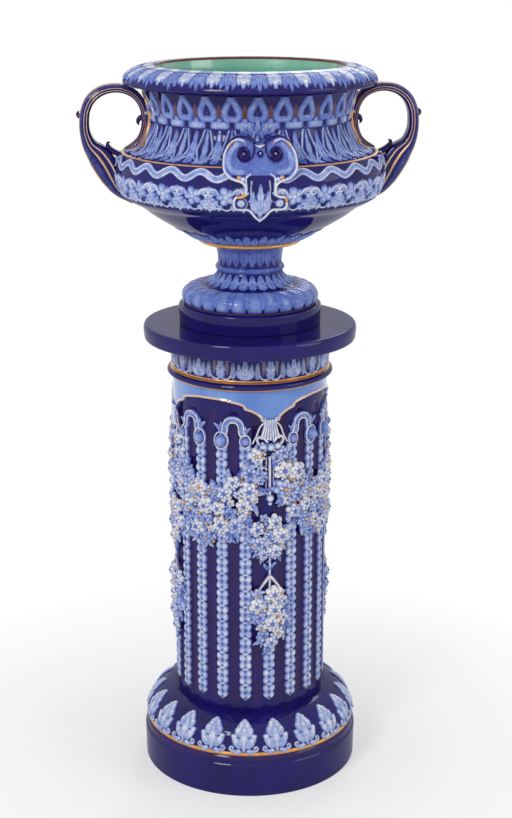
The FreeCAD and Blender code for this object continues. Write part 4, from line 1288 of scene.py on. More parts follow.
def loops_piece(clay):
    """Horseshoes over the heads of the reeds, each ending in a large and a small bulb."""
    for knot in KNOTS:
        for place, hand in ((1.5, 1), (3.5, -1)):
            angle = knot + place * REED_PITCH
            side = REED_PITCH / 2 * COLUMN_RADIUS
            arch = [
                (-hand * 16.0, 551.0), (-hand * 12.5, 557.0), (-hand * 11.6, 566.0),
                (-hand * 8.0, 573.0), (0, 575.6),
            ]
            arch += [
                (hand * 8.0, 573.0), (hand * 11.6, 566.0), (hand * 12.5, 558.0), (hand * 16.0, 549.0)
            ]
            ribbon(clay, arch, 11.5, 3.0, angle, 112.2, 1.0, 0.0, 0.0, 0.45)
            line = curve_through(arch, 4)
            slope = np.gradient(line, axis=0)
            aside = np.stack([-slope[:, 1], slope[:, 0]], axis=-1) / np.hypot(*slope.T)[:, None]
            for lean in (3.6, -3.6):
                ribbon(clay, (line + aside * lean)[::2], 3.2, 3.2, angle, 113.4, 1, 0.25)
            for end, size in ((hand, 13.0), (-hand, 9.5)):
                spot = (angle + end * side / 112.0, 544.0, 112.8)
                drop = spiral((end * side, 544.0), math.pi / 2, 1.0, size, size, 13)
                drop = (drop - [end * side, 544.0]) * [0.78, 1.0] + [end * side, 544.0]
                clay.stamp(berry(size * 0.74), spot, 0.0, 1.0, 0.6)
                ribbon(clay, drop, 3.2, 3.6, angle, 113.6, 1, 0.2)
                clay.stamp(
                    leaf_form(size * 1.3, size * 0.7, 3.4, 2, 0.0), (spot[0], 538.0, 115.6), math.pi / 2
                )
                for lean in (-0.6, 0.0, 0.6):
                    tip = leaf_form(size * 1.5, size * 0.6, 3.0, 2, lean * -0.2)
                    clay.stamp(tip, (spot[0], 553.0, 113.6), math.pi / 2 + lean)


APRON_EDGE = [
    (0.0, 571.0),
    (8.0, 572.0),
    (13.0, 576.5),
    (19.0, 582.5),
    (28.0, 588.0),
    (36.0, 590.5),
    (39.5, 593.0),
    (42.0, 597.0),
    (58.0, 601.0),
    (76.0, 603.5),
    (92.5, 604.0),
]


def apron_piece(clay):
    """The smooth collar under the capital, with a raised edge along its arches and pendants."""
    radius = COLUMN_RADIUS + 2.4
    quarter = math.pi / 2 * radius
    edge = curve_through(APRON_EDGE, 6)
    edge = edge * [quarter / 2 / APRON_EDGE[-1][0], 1.0]
    whole = np.concatenate([edge[::-1] * [-1, 1], edge[1:]])
    corners = np.concatenate(
        [whole, [(quarter / 2 + 3, COLUMN_TOP + 3), (-quarter / 2 - 3, COLUMN_TOP + 3)]]
    )
    columns = 150
    share = (np.arange(columns) / columns - 0.5)[None, :]
    cell = Relief(share * quarter, np.arange(568.0, COLUMN_TOP + 0.1, 1.1)[:, None])
    gap, _ = cell.from_line(whole)
    inner = cell.inside(corners)
    cell.lay(np.where(inner, 1.2 + 0 * gap, 0.0), 2.0)
    edge_form = np.sqrt(np.clip(1 - ((gap - 1.6) / 2.1) ** 2, 0, 1)) * inner
    cell.lay(1.2 + 1.9 * edge_form - 3.0 * (edge_form <= 0), 3.1, rust=0.45 * edge_form)
    gap = np.where(inner, -gap, gap)
    relief = all_round(cell, 4)
    relief.across = relief.across * 0 + np.arange(4 * columns)[None, :] * quarter / columns
    whole_gap = np.tile(gap, (1, 4))
    start = STAND_TURN - math.pi / 4

    def front(across, up, rise):
        return around(radius + rise, start + across / radius, up)

    def back(across, up):
        return around(COLUMN_RADIUS - 1.0, start + across / radius, up)

    clay.plaque(relief, whole_gap, front, back, True)


def column_wall(clay):
    """The wall of the column, fluted between the reeds, and its inside."""
    line = spaced(rounded([(COLUMN_RADIUS, COLUMN_FOOT), (COLUMN_RADIUS, COLUMN_TOP)]), 2.5)
    angles = full_turn(REEDS * 16, STAND_TURN)
    up = distance_along(line)[:, None]
    relief = Relief(angles[None, :], up)
    half_flute = 7.9
    share = np.abs(((angles[None, :] - STAND_TURN) / REED_PITCH) % 1 - 0.5)
    off_middle = share * REED_PITCH * COLUMN_RADIUS
    hollow = np.sqrt(np.clip(1 - (off_middle / half_flute) ** 2, 0, 1))
    ends = smooth(12.0, 19.0, up) * smooth(475.0, 466.0, up)
    relief.rise = -sizes().flute_depth / MM * hollow * ends
    # Painted shade: a faint brown tint, deepest in the hollows of the flutes.
    relief.tint(BROWN_AND_PAINTED_SHADE, 0.1 * hollow * ends)
    turn_on_wheel(clay, line, angles, relief)
    inside = [(COLUMN_RADIUS, COLUMN_TOP), (COLUMN_BORE, COLUMN_TOP)]
    inside += [(COLUMN_BORE, COLUMN_FOOT), (COLUMN_RADIUS, COLUMN_FOOT)]
    turn_on_wheel(clay, spaced(inside, 40), full_turn(128))


def base_piece(clay):
    """The base: plain plinth, dark band with a gilt line, and twenty acanthus leaves on the cushion."""
    plinth = [(151.0, 0.0), (164.0, 0.0, 2.0), (165.0, 50.0, 4.0)]
    plinth += [(162.8, 52.6, 1.5), (162.8, 62.0, 3.0), (160.5, 64.6)]
    angles = full_turn(360, STAND_TURN)
    line = spaced(rounded(plinth, 6), 2.0)
    relief = Relief(angles[None, :], distance_along(line)[:, None])
    relief.tint(BROWN_AND_PAINTED_SHADE, 0.12 * smooth(68.0, 74.0, relief.up))
    turn_on_wheel(clay, line, angles, relief)
    cushion = [(160.5, 64.6), (160.6, 70.0), (157.0, 84.0), (150.5, 96.0)]
    cushion += [(140.0, 106.5), (128.0, 112.6), (118.0, 115.6)]
    line = even(curve_through(cushion, 8), 1.15)
    relief, angles = repeated(line, REEDS, 38, 150.0)
    relief.lay(1.0 * smooth(1.0, 2.0, relief.up) * smooth(6.0, 5.0, relief.up), 1.2, pale=0.0, gilt=1.0)
    for hand in (-1, 1):
        relief.leaf((hand * 2.0, 8.0), (hand * 19.0, 12.5), 8.0, 3.0, 3, 0.15, hand * -0.16)
        relief.ridge(spiral((hand * 16.5, 13.0), -math.pi / 2, hand * 0.8, 4.6, 1.2, 20), 3.0, 3.4)
        relief.dome((hand * 7.0, 9.5), 3.0, 2.6, 2.8)
        lobes = ((14.5, 25.0, 5.0), (17.0, 31.0, 4.2), (11.5, 41.0, 4.8), (8.0, 47.0, 4.0))
        for far, level, wide in lobes:
            root, tip = (hand * 1.5, level - 11.0), (hand * (far + 2), level + 1.5)
            relief.leaf(root, tip, 10.5, 3.4, 2, 0.12, hand * -0.1)
            relief.dome((hand * (far - 2.6), level - 1.2), wide * 1.15, wide, 2.9)
    relief.leaf((0, 7.0), (0, 56.0), 11.0, 3.6, 5, 0.2, 0.0, 0.7)
    for across, level, wide in ((0.0, 53.5, 5.0), (-4.6, 50.0, 3.6), (4.6, 50.0, 3.6), (0.0, 26.0, 6.5)):
        relief.dome((across, level), wide * 1.1, wide, 3.3)
    relief.ridge([(0, 6), (0, 30), (0, 52)], 1.8, 4.2, 0.5)
    relief.paint[..., TONE_AND_PAINTED_LIGHT] *= 0.92
    turn_on_wheel(clay, line, angles + STAND_TURN, all_round(relief, REEDS))
    inside = [(118.0, 115.6), (COLUMN_BORE, 115.6), (COLUMN_BORE, 95.6), (151.0, 63.6), (151.0, 0.0)]
    turn_on_wheel(clay, spaced(inside, 8.0), full_turn(160))


def capital_piece(clay):
    """The capital: a navy ring between gilt lines, and a frieze of leaves and darts."""
    ring = rounded([(112.0, 618.6), (117.0, 618.6, 0.8), (118.0, 620.5)], 3)
    arc = [(118.0, 620.5), (122.0, 622.5), (123.2, 625.2), (121.6, 628.6), (117.5, 631.2)]
    arc = curve_through(arc + [(FRIEZE_RADIUS, 632.0)], 7)
    line = spaced(np.concatenate([ring, arc[1:]]), 0.9)
    angles = full_turn(320)
    relief = Relief(angles[None, :], distance_along(line)[:, None])
    high = relief.up.max()
    lower_line = smooth(7.6, 6.6, relief.up) * (relief.up > 4.8)
    relief.tint(GILT, np.maximum(lower_line, smooth(high - 5.0, high - 4.0, relief.up)))
    turn_on_wheel(clay, line, angles, relief)
    line = spaced([(FRIEZE_RADIUS, level) for level in (632.0, 668.0, 672.6)], 1.0)
    relief, angles = repeated(line, FRIEZE_REPEATS, 76, FRIEZE_RADIUS)
    half = relief.across.max() + 0.5
    for side in (-half, half):
        palmette(relief, (side, 3.0), (side, 36.0), 27.0, 3.6)
    relief.leaf((0, 4.0), (0, 37.0), 17.0, 3.8, 3, 0.22)
    for hand in (-1, 1):
        relief.leaf((hand * 18.5, 4.0), (hand * 18.5, 31.0), 10.0, 3.0, 2, 0.15, 0.0, 0.7, rust=0.15)
        relief.leaf((hand * 9.0, 36.0), (hand * 10.5, 8.0), 6.0, 2.2, 1, 0.1, rust=0.5)
        relief.ridge([(hand * 3, 5), (hand * 8, 3.5), (hand * 13, 6), (hand * 16, 11)], 2.8, 2.2)
        relief.dome((hand * 13.5, 33.0), 3.2, 3.0, 2.6)
    relief.ridge([(-half, 38.8), (half, 38.8)], 2.4, 1.8, gilt=1.0)
    relief.ridge([(-half, 1.2), (half, 1.2)], 2.4, 1.6, gilt=1.0)
    relief.paint[..., TONE_AND_PAINTED_LIGHT] *= 0.9
    turn_on_wheel(clay, line, angles + STAND_TURN, all_round(relief, FRIEZE_REPEATS))
    inside = spaced([(FRIEZE_RADIUS, 672.9), (99.0, 673.0), (99.0, 618.6), (112.0, 618.6)], 12.0)
    turn_on_wheel(clay, inside, full_turn(128))


def slab_piece(clay):
    """The plain round slab, thickly glazed, with soft edges."""
    low, high, far = CAPITAL_TOP, SLAB_TOP, SLAB_RADIUS
    corners = [
        (3.0, low), (far - 1.5, low, 4.0), (far, high - 6.0, 6.0), (far - 2.0, high, 4.0), (3.0, high)
    ]
    line = spaced(rounded(corners, 9), 5.0)
    turn_on_wheel(clay, line, full_turn(288))
    for height, order in ((low, 1), (high, -1)):
        rings = around(np.array([0.02, 3.0])[:, None], full_turn(288)[None, :], height)
        clay.sheet(rings[::-1] if order < 0 else rings, np.zeros(rings.shape[:2] + (4,)), True)


STRAP_LINE = [
    (168.0, 877.0, 9.0),
    (188.0, 893.0, 19.0),
    (197.5, 909.0, 29.0),
    (205.5, 925.0, 34.0),
    (216.5, 942.0, 32.0),
    (229.0, 957.0, 20.0),
    (235.0, 974.0, 14.8),
    (236.0, 991.0, 13.8),
    (233.4, 1008.0, 13.6),
    (225.4, 1023.0, 13.6),
    (211.0, 1033.6, 13.0),
    (194.0, 1037.4, 12.0),
    (177.0, 1035.3, 11.5),
    (162.0, 1026.5, 11.0),
    (152.8, 1012.0, 10.5),
    (150.0, 996.0, 10.0),
    (151.0, 980.0, 10.0),
    (157.0, 966.0, 9.0),
    (167.0, 956.5, 8.0),
    (178.0, 950.0, 7.0),
]
WALL_LEVELS = [
    850.0, 859.0, 873.0, 880.0, 886.0, 900.0, 914.0, 927.0, 938.0, 948.5, 952.2, 959.0, 972.0, 984.0
]
WALL_LEVELS += [996.0, 1008.0, 1020.0, 1031.0, 1040.0]
WALL_RADII = [
    129.0, 141.0, 160.0, 174.0, 184.0, 189.5, 192.5, 193.0, 190.6, 184.0, 166.0, 157.0, 149.0, 144.0
]
WALL_RADII += [142.2, 143.4, 146.0, 149.0, 152.0]


def bowl_wall(up):
    """How far the bowl's outside is from the axis at a height."""
    return np.interp(up, WALL_LEVELS, WALL_RADII)


def swept(clay, line, section, widths, thicks, side):
    """Sweeps a section of (across, out, marks) along a line of (sideways, height) beside the bowl."""
    slope = np.gradient(line, axis=0)
    slope = slope / np.hypot(*slope.T)[:, None]
    form = np.array([(across, out) for across, out, _ in section])
    marks = np.array([mark for _, _, mark in section])
    out = form[None, :, 1] * thicks[:, None]
    sideways = line[:, :1] + slope[:, 1:] * out
    height = line[:, 1:] - slope[:, :1] * out
    depth = form[None, :, 0] * widths[:, None]
    points = np.stack([side * sideways, depth + 0 * out, height], axis=-1)
    paint = np.broadcast_to(marks, points.shape[:2] + (4,))
    if side < 0:
        points, paint = points[:, ::-1], paint[:, ::-1]
    clay.sheet(points, paint, True)


def strap_section():
    """The strap's section: pale violet shoulders that stand partly for a painted reflection, and raised
    gilt lines beside a dark groove on each side.
    """
    # The pale violet of the shoulders, a little pale glaze on the dark strap, is partly a painted
    # reflection.
    dark, lilac_and_reflection = (0.0, 0.0, 0.4, 0.0), (0.42, 0.0, 0.3, 0.0)
    gold, cream = (1.0, 1.0, 0.9, 0.0), (1.0, 0.25, 1.0, 0.0)
    half = [(0.0, 0.44, (0.9, 0.0, 0.25, 0.0)), (0.3, 0.44, (0.9, 0.0, 0.5, 0.0)), (0.47, 0.46, cream)]
    half += [
        (0.54, 0.52, gold), (0.62, 0.5, gold), (0.68, 0.44, dark), (0.78, 0.42, dark), (0.84, 0.44, lilac_and_reflection)
    ]
    half += [
        (0.93, 0.38, lilac_and_reflection), (0.99, 0.25, lilac_and_reflection), (1.0, 0.07, dark), (1.04, 0.05, cream),
        (1.06, 0.02, gold),
    ]
    half += [
        (1.04, -0.01, gold), (0.98, -0.04, dark), (0.98, -0.2, dark), (1.03, -0.23, cream),
        (1.05, -0.26, gold),
    ]
    half += [(1.02, -0.3, dark), (0.94, -0.44, dark), (0.8, -0.5, dark), (0.4, -0.5, dark)]
    left = [(-across, out, mark) for across, out, mark in half[:0:-1]]
    return left + half + [(0.0, -0.5, dark)]


def handle_piece(clay, side):
    """One handle, with its spur, its nub and the leaves that tie it to the bowl."""
    mould = np.array(STRAP_LINE)
    line = curve_through(mould[:, :2], 10)
    thicks = curve_through(np.stack([mould[:, 2], mould[:, 2]], axis=-1), 10)[:, 0]
    share = distance_along(line) / distance_along(line)[-1]
    widths = 13.2 * (0.6 + 0.4 * smooth(0.0, 0.14, share)) * (1 - 0.2 * smooth(0.75, 1.0, share))
    swept(clay, line, strap_section(), widths, thicks, side)
    round_bar = [(math.sin(turn), math.cos(turn), (0.0, 0.0, 0.5, 0.15)) for turn in full_turn(16)]
    spur = [(178.0, 942.0), (188.0, 944.5), (197.0, 949.0), (203.0, 955.0), (203.5, 960.0), (199.5, 961.0)]
    nub = [(151.0, 998.0), (157.5, 994.5), (160.0, 989.0), (158.0, 984.5)]
    thumb_rest = [(236.0, 999.0), (242.0, 998.0), (245.0, 1001.5), (243.0, 1006.0)]
    for points, wide in ((spur, 10.0), (nub, 5.5), (thumb_rest, 6.5)):
        curl = curve_through(points, 7)
        fading = np.sin(math.pi * np.linspace(0.32, 0.97, len(curl)))
        swept(clay, curl, round_bar, wide * fading, (3.0 + 0.12 * wide) * fading, side)
    angle = side * math.pi / 2
    for hand in (1, -1):
        large, small = leaf_form(
            34.0, 14.0, 4.2, 4, hand * -0.12
        ), leaf_form(20.0, 10.0, 3.4, 3, hand * -0.1)
        for height, radius, turn, form in (
            (1004.0, 144.8, 0.95, large),
            (1012.0, 146.0, 0.35, large),
            (996.0, 143.6, -0.1, small),
            (990.0, 143.4, -0.75, large),
            (1022.0, 148.0, 0.75, small),
            (968.0, 152.5, -0.55, small),
        ):
            lean = turn if hand > 0 else math.pi - turn
            clay.stamp(form, (angle + hand * 9.5 / 144.0, height, radius), lean)
        clay.stamp(berry(3.6), (angle + hand * 12.5 / 144.0, 1003.0, 145.5))
        wing = [
            (hand * 7, 1030), (hand * 14, 1021), (hand * 17.5, 1007), (hand * 17, 992), (hand * 20, 977)
        ]
        wing = curve_through(wing + [(hand * 28, 964), (hand * 42, 955)], 4)
        slope = np.gradient(wing, axis=0)
        aside = np.stack([-slope[:, 1], slope[:, 0]], axis=-1) / np.hypot(*slope.T)[:, None]
        ribbon(clay, wing[::2], 12.0, 5.0, angle, bowl_wall, 0.5, 0.0, 0.0, 0.4)
        for lean in (-5.2, 5.2):
            ribbon(clay, (wing + aside * lean)[::2], 2.2, 4.8, angle, bowl_wall, 1.0, 0.0, 0.75)
        upper = [
            (hand * 10, 1034), (hand * 24, 1031), (hand * 37, 1022), (hand * 45, 1009), (hand * 47, 1000)
        ]
        ribbon(clay, upper, lambda share: 6.5 - 4.5 * share, 3.4, angle, bowl_wall, 1.0, 0.5, 0.35)


CARTOUCHE_SIDE = [
    (0.0, 872.5),
    (8.0, 880.0),
    (16.0, 889.5),
    (23.0, 890.5),
    (31.5, 890.8),
    (36.5, 896.0),
    (36.8, 905.0),
    (33.0, 911.5),
    (26.0, 912.5),
    (22.0, 915.0),
    (21.8, 924.0),
    (26.0, 929.0),
    (34.0, 931.5),
    (43.0, 937.0),
    (49.5, 947.0),
    (52.0, 959.0),
    (50.8, 971.5),
    (45.0, 982.0),
    (35.0, 988.6),
    (23.0, 989.5),
    (12.0, 985.5),
    (5.0, 980.5),
]
FACE_LEVELS = [866.0, 880.0, 895.0, 910.0, 926.0, 948.0, 966.0, 992.0]
FACE_RADII = [168.0, 183.0, 192.5, 196.5, 198.0, 196.5, 187.0, 170.0]


def cartouche_piece(clay, turn):
    """Strapwork with two volutes above, two lobes below and a leaf between its legs."""
    cell = Relief(np.arange(-56.0, 56.1, 0.85)[None, :], np.arange(867.0, 994.1, 0.85)[:, None])
    right = curve_through(CARTOUCHE_SIDE + [(0.0, 978.0)], 6)
    whole = np.concatenate([right, right[::-1][1:-1] * [-1, 1]])
    gap = cell.depth_in(whole)
    face = smooth(937.0, 941.5, cell.up)
    for hand in (-1, 1):
        inner_band = [(24, 943), (34, 944), (40.5, 951), (42.6, 960), (40, 970), (33, 977.5)]
        cell.ridge(mirrored(inner_band, hand), 8.0, 2.6)
    cell.tint(PALE, face)
    cell.paint[..., TONE_AND_PAINTED_LIGHT] = face * (0.3 + 0.3 * cell.paint[..., TONE_AND_PAINTED_LIGHT])
    for hand in (-1, 1):
        eye = (hand * 21.5, 966.5)
        channel = np.hypot(cell.across - eye[0], cell.up - eye[1])
        sunk = smooth(8.6, 7.6, channel)
        cell.paint[..., PALE] *= 1 - sunk
        cell.rise = cell.rise - 2.2 * sunk
        curl = [
            (18, 987.5), (10, 984.0), (8.0, 973), (11.0, 963), (19, 957.2), (27.5, 959.5), (30.6, 966.5)
        ]
        curl += [(27, 973.5), (20.5, 974.5), (15.6, 970.0), (16.4, 963.6)]
        cell.ridge(mirrored(curl, hand), 3.6, 4.0, 0.35, pale=0.0)
        scroll = [
            (37, 934.5), (45.5, 944), (48.4, 957), (47.3, 970), (41, 980), (31.5, 984.6), (22.5, 982.5)
        ]
        cell.ridge(mirrored(scroll, hand), 4.6, 4.4, 0.1)
        lip = [(44, 975), (39, 981), (31, 984.6), (23, 982.5), (19.5, 978.5)]
        cell.ridge(mirrored(lip, hand), 3.6, 5.0, 0.6, gilt=0.8)
        cell.dome(eye, 4.2, 4.2, 5.6, pale=0.0)
        # Painted highlight: a small gilt dot set up and to the left on each eye's boss, the same way on
        # both sides.
        cell.dome((eye[0] - 0.8, eye[1] + 1.0), 1.9, 1.5, 6.4, gilt=0.9)
        leg = [(18.5, 913.0), (18.0, 924.0), (19.0, 932.0), (17.5, 938.0), (13.0, 941.0)]
        cell.ridge(mirrored(leg, hand, 5), 3.2, 3.4)
        inner = [(11.5, 932.0), (12.5, 922.0), (12.5, 909.0), (15.0, 904.0)]
        cell.ridge(mirrored(inner, hand, 5), 2.4, 2.4, rust=0.2)
        cell.dome((hand * 25.5, 901.5), 6.2, 6.0, 3.4)
        cell.dome((hand * 25.5, 901.5), 2.6, 2.4, 4.0, pale=0.4)
        cell.ridge(
            spiral((hand * 26.0, 901.0), hand * -2.2, hand * 0.6, 9.0, 8.4, 30), 1.8, 2.0, rust=0.3
        )
        cell.dome((hand * 22.5, 934.5), 4.0, 3.4, 3.8)
        cell.dome((hand * 28.0, 936.5), 3.0, 2.6, 2.8, gilt=0.8)
        cell.dome((hand * 17.0, 915.5), 2.6, 2.2, 3.6)
    cell.dome((0.0, 966.5), 4.6, 4.6, 4.8, pale=0.1)
    # Painted highlight: a pale dot on the upper part of the dark middle boss.
    cell.dome((0.0, 968.0), 1.8, 1.8, 5.4, pale=0.9)
    palmette(cell, (0.0, 884.0), (0.0, 929.0), 29.0, 3.6)
    for hand in (-1, 1):
        cell.leaf((0.0, 898.0), (hand * 12.0, 893.0), 9.0, 3.0, 2, 0.15)
    cell.leaf((0.0, 898.0), (0.0, 878.0), 9.0, 2.8, 2, 0.15)
    cell.paint[..., TONE_AND_PAINTED_LIGHT] *= 0.9
    edging = np.sqrt(np.clip(1 - ((gap + 2.2) / 2.1) ** 2, 0, 1))
    shaded = np.maximum(smooth(974.0, 982.0, cell.up), smooth(40.0, 47.0, np.abs(cell.across)))
    rubbed = 0.5 + 0.3 * np.sin(cell.up / 6.0 + 1.0) + 0.25 * np.sin(cell.across / 5.0)
    cell.lay(3.4 * edging, 3.4, pale=1 - shaded, gilt=(1 - shaded) * smooth(0.66, 0.9, rubbed))

    def front(across, up, rise):
        return around(np.interp(up, FACE_LEVELS, FACE_RADII) + rise - 1.5, turn + across / 190.0, up)

    def back(across, up):
        return around(bowl_wall(up) - 1.5, turn + across / 190.0, up)

    clay.plaque(cell, gap, front, back)
    for lean in (-0.85, -0.42, 0.0, 0.42, 0.85):
        form = leaf_form(24.0 - 5 * abs(lean), 11.0, 3.4, 3, lean * -0.12)
        clay.stamp(form, (turn + lean * 13.0 / 144.0, 983.0, 143.6), math.pi / 2 - lean * 0.75)


def shade(red, green, blue):
    """A colour written as a screen shows it, as the renderer counts it."""
    parts = [part / 255.0 for part in (red, green, blue)]
    return tuple(part / 12.92 if part <= 0.04045 else ((part + 0.055) / 1.055) ** 2.4 for part in parts)


def colour_choice(name, description, default):
    """A colour whose default is written as a screen shows it."""
    return bpy.props.FloatVectorProperty(
        name=name,
        description=description,
        default=shade(*default),
        subtype="COLOR",
        size=3,
        min=0.0,
        max=1.0,
    )


def length_choice(name, description, default):
    """A length in metres, shown in the scene's units."""
    return bpy.props.FloatProperty(
        name=name,
        description=description,
        default=default,
        min=0.0,
        max=0.05,
        precision=4,
        subtype="DISTANCE",
        unit="LENGTH",
    )


class JardiniereColours(bpy.types.PropertyGroup):
    """The colours of the glazes and the gilding."""

    cobalt_deep: colour_choice("Deep cobalt", "Ground colour where the glaze is thickest", (20, 16, 62))
    cobalt: colour_choice("Cobalt", "Ground colour of the ware", (34, 26, 124))
    pooled_blue: colour_choice("Pooled blue", "Glaze in the hollows of the relief", (54, 60, 156))
    mid_blue: colour_choice("Mid blue", "Glaze on the sides of the relief", (106, 130, 204))
    pale_blue: colour_choice("Pale blue", "Glaze on the upper parts of the relief", (172, 186, 226))
    relief_white: colour_choice("Relief white", "Glaze on the crests of the relief", (238, 234, 230))
    apron_blue: colour_choice("Apron blue", "The smooth collar below the capital", (80, 124, 206))
    apron_light: colour_choice("Light apron blue", "The collar where the glaze is thin", (122, 162, 222))
    iron_brown: colour_choice("Iron brown", "Brown touches along edges", (104, 54, 34))
    gilt: colour_choice("Gilt", "The gilding where it is whole", (238, 184, 104))
    gilt_worn: colour_choice("Worn gilt", "The gilding where it is rubbed", (196, 124, 62))
    inside_deep: colour_choice(
        "Deep sea green", "The bowl's inside where the glaze pools", (88, 164, 138)
    )
    inside: colour_choice("Sea green", "The bowl's inside", (138, 206, 186))


class JardiniereSizes(bpy.types.PropertyGroup):
    """The sizes of the moulded ornament."""

    wave_swing: length_choice("Wave swing", "How far the waving ribbon swings from its middle", 0.005)
    wave_width: length_choice("Wave width", "How wide the waving ribbon is", 0.0105)
    flute_depth: length_choice("Flute depth", "How deep the flutes are between the reeds", 0.003)
    reed_rise: length_choice("Reed rise", "How far the husks of the reeds stand proud", 0.0039)
    flower_seed: bpy.props.IntProperty(
        name="Flower arrangement",
        description="Picks another arrangement of the flowers",
        default=7,
        min=0,
        max=999,
    )


def sizes():
    """The sizes chosen for this scene."""
    return bpy.context.scene.jardiniere_sizes


class BaseOperator(bpy.types.Operator):
    """Makes the base with its acanthus leaves"""

    bl_idname = "jardiniere.base"
    bl_label = "Base"

    def execute(self, context):
        clay = Clay()
        base_piece(clay)
        clay.fire("leafed_base", "stand", ["stand_base"], majolica_glaze())
        return {"FINISHED"}


class ColumnOperator(bpy.types.Operator):
    """Makes the fluted column with its reeds and their loops"""

    bl_idname = "jardiniere.column"
    bl_label = "Column and reeds"

    def execute(self, context):
        wall, strips, loops = Clay(), Clay(), Clay()
        column_wall(wall)
        wall.fire("fluted_column", "stand", ["column"], majolica_glaze())
        reeds_piece(strips)
        strips.fire("husk_reeds", "stand", ["reeds"], majolica_glaze())
        loops_piece(loops)
        loops.fire("bulbed_loops", "stand", ["reed_loops"], majolica_glaze())
        return {"FINISHED"}


class CapitalOperator(bpy.types.Operator):
    """Makes the apron, the capital with its frieze and the slab"""

    bl_idname = "jardiniere.capital"
    bl_label = "Apron, capital and slab"

    def execute(self, context):
        collar, head, slab = Clay(), Clay(), Clay()
        apron_piece(collar)
        collar.fire("arched_apron", "stand", ["apron"], apron_glaze(), "pale_blue_glaze")
        capital_piece(head)
        head.fire("frieze_capital", "stand", ["capital"], majolica_glaze())
        slab_piece(slab)
        slab.fire("round_slab", "stand", ["top_slab"], majolica_glaze())
        return {"FINISHED"}


class FlowersOperator(bpy.types.Operator):
    """Makes the four festoons, the knots between them and the drops below the knots"""

    bl_idname = "jardiniere.flowers"
    bl_label = "Festoons, knots and drops"

    def execute(self, context):
        seed = sizes().flower_seed
        for k, knot in enumerate(KNOTS):
            swag, drop = Clay(), Clay()
            swag_piece(swag, knot + math.pi / 4, seed + k)
            swag.fire(f"festoon_{k + 1}", "stand", ["festoons"], majolica_glaze(), "pale_blue_glaze")
            drop_piece(drop, knot, seed + 10 + k)
            drop.fire(f"flower_drop_{k + 1}", "stand", ["drops"], majolica_glaze(), "pale_blue_glaze")
        tied = Clay()
        for knot in KNOTS:
            knot_piece(tied, knot)
        tied.fire("tied_knots", "stand", ["bows"], majolica_glaze(), "pale_blue_glaze")
        return {"FINISHED"}


class BowlOperator(bpy.types.Operator):
    """Makes the bowl: rim, neck, widest part, lower wall and inside"""

    bl_idname = "jardiniere.bowl"
    bl_label = "Bowl"

    def execute(self, context):
        for name, make, repeats in (
            ("bowl_rim", rim_relief, BOWL_REPEATS),
            ("bowl_neck", neck_relief, BOWL_REPEATS),
            ("bowl_belly", belly_relief, BELLY_REPEATS),
            ("bowl_foot", under_relief, BOWL_REPEATS),
        ):
            clay = Clay()
            line, relief, angles = make()
            turn_on_wheel(clay, line, angles, all_round(relief, repeats))
            clay.fire(name, "jardiniere", ["bowl"], majolica_glaze())
        clay = Clay()
        bowl_inside(clay)
        clay.fire("bowl_inside", "jardiniere", ["bowl"], turquoise_glaze())
        return {"FINISHED"}


class HandlesOperator(bpy.types.Operator):
    """Makes the two handles"""

    bl_idname = "jardiniere.handles"
    bl_label = "Handles"

    def execute(self, context):
        for name, side in (("left", -1), ("right", 1)):
            clay = Clay()
            handle_piece(clay, side)
            clay.fire(f"strap_handle_{name}", "jardiniere", [f"handle_{name}"], majolica_glaze())
        return {"FINISHED"}


class CartoucheOperator(bpy.types.Operator):
    """Makes the cartouches on the front and on the back"""

    bl_idname = "jardiniere.cartouches"
    bl_label = "Cartouches"

    def execute(self, context):
        for name, turn in (("front", 0.0), ("back", math.pi)):
            clay = Clay()
            cartouche_piece(clay, turn)
            clay.fire(f"strapwork_{name}", "jardiniere", [f"cartouche_{name}"], majolica_glaze())
        return {"FINISHED"}


class SocleOperator(bpy.types.Operator):
    """Makes the gadrooned foot below the bowl"""

    bl_idname = "jardiniere.socle"
    bl_label = "Foot"

    def execute(self, context):
        clay = Clay()
        socle_piece(clay)
        clay.fire("gadrooned_foot", "jardiniere", ["socle"], majolica_glaze())
        return {"FINISHED"}


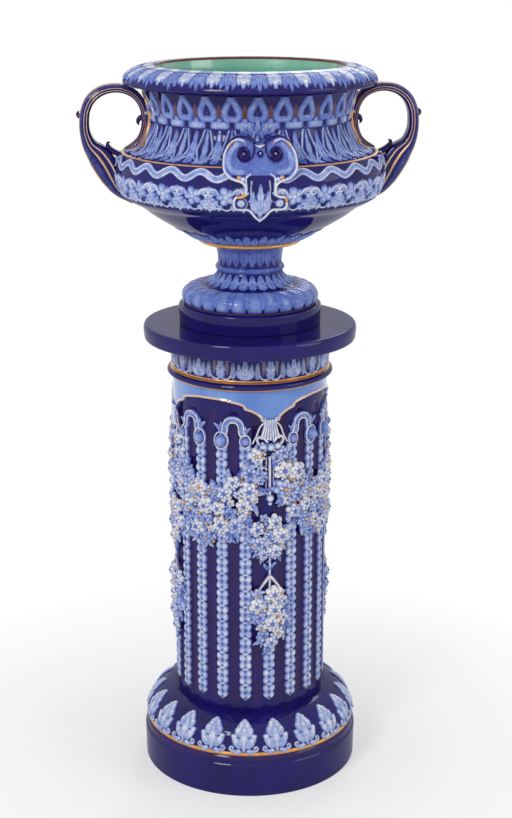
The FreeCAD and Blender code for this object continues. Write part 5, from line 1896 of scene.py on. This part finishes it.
class BoltOperator(bpy.types.Operator):
    """Finishes the bolt that ties the bowl to its foot, with its seal, plate and nut"""

    bl_idname = "jardiniere.bolt"
    bl_label = "Tie bolt"

    def execute(self, context):
        finishes = (
            ("seal_washer", black_rubber), ("tie_bolt", worn_brass), ("iron_plate", rusted_iron),
            ("tie_nut", worn_brass),
        )
        for node, finish in finishes:
            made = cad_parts[node]
            for place in range(len(made.data.materials)):
                made.material_slots[place].material = finish()
        return {"FINISHED"}


class StageOperator(bpy.types.Operator):
    """Sets up the floor, the light and the camera"""

    bl_idname = "jardiniere.stage"
    bl_label = "Stage"

    def execute(self, context):
        context.scene.view_settings.view_transform = "Standard"
        studio_world()
        floor_sheet()
        lamp("key_lamp", (-1.5, -2.0, 2.3), (0.0, 0.0, 0.65), 0.9, 34.0)
        lamp("side_lamp", (2.2, -1.2, 1.5), (0.0, 0.0, 0.6), 1.4, 12.0)
        lamp("back_lamp", (0.6, 2.2, 2.2), (0.0, 0.0, 0.7), 1.2, 12.0)
        set_camera()
        return {"FINISHED"}


STEPS = (
    BaseOperator,
    ColumnOperator,
    CapitalOperator,
    FlowersOperator,
    BowlOperator,
    HandlesOperator,
    CartoucheOperator,
    SocleOperator,
    BoltOperator,
    StageOperator,
)


class JardinierePanel(bpy.types.Panel):
    """Lists the steps in the order in which they are done"""

    bl_idname = "VIEW3D_PT_jardiniere"
    bl_label = "Jardiniere on stand"
    bl_space_type = "VIEW_3D"
    bl_region_type = "UI"
    bl_category = "Jardiniere"

    def draw(self, context):
        for group in (context.scene.jardiniere_colours, context.scene.jardiniere_sizes):
            box = self.layout.box()
            for name in group.bl_rna.properties.keys():
                if name not in ("rna_type", "name"):
                    box.prop(group, name)
        for step in STEPS:
            self.layout.operator(step.bl_idname)


CLASSES = (JardiniereColours, JardiniereSizes, *STEPS, JardinierePanel)


def register():
    for one in CLASSES:
        bpy.utils.register_class(one)
    bpy.types.Scene.jardiniere_colours = bpy.props.PointerProperty(type=JardiniereColours)
    bpy.types.Scene.jardiniere_sizes = bpy.props.PointerProperty(type=JardiniereSizes)


def unregister():
    del bpy.types.Scene.jardiniere_sizes
    del bpy.types.Scene.jardiniere_colours
    for one in reversed(CLASSES):
        bpy.utils.unregister_class(one)


def main():
    register()
    for step in STEPS:
        group, name = step.bl_idname.split(".")
        getattr(getattr(bpy.ops, group), name)()


if __name__ == "__main__":
    main()
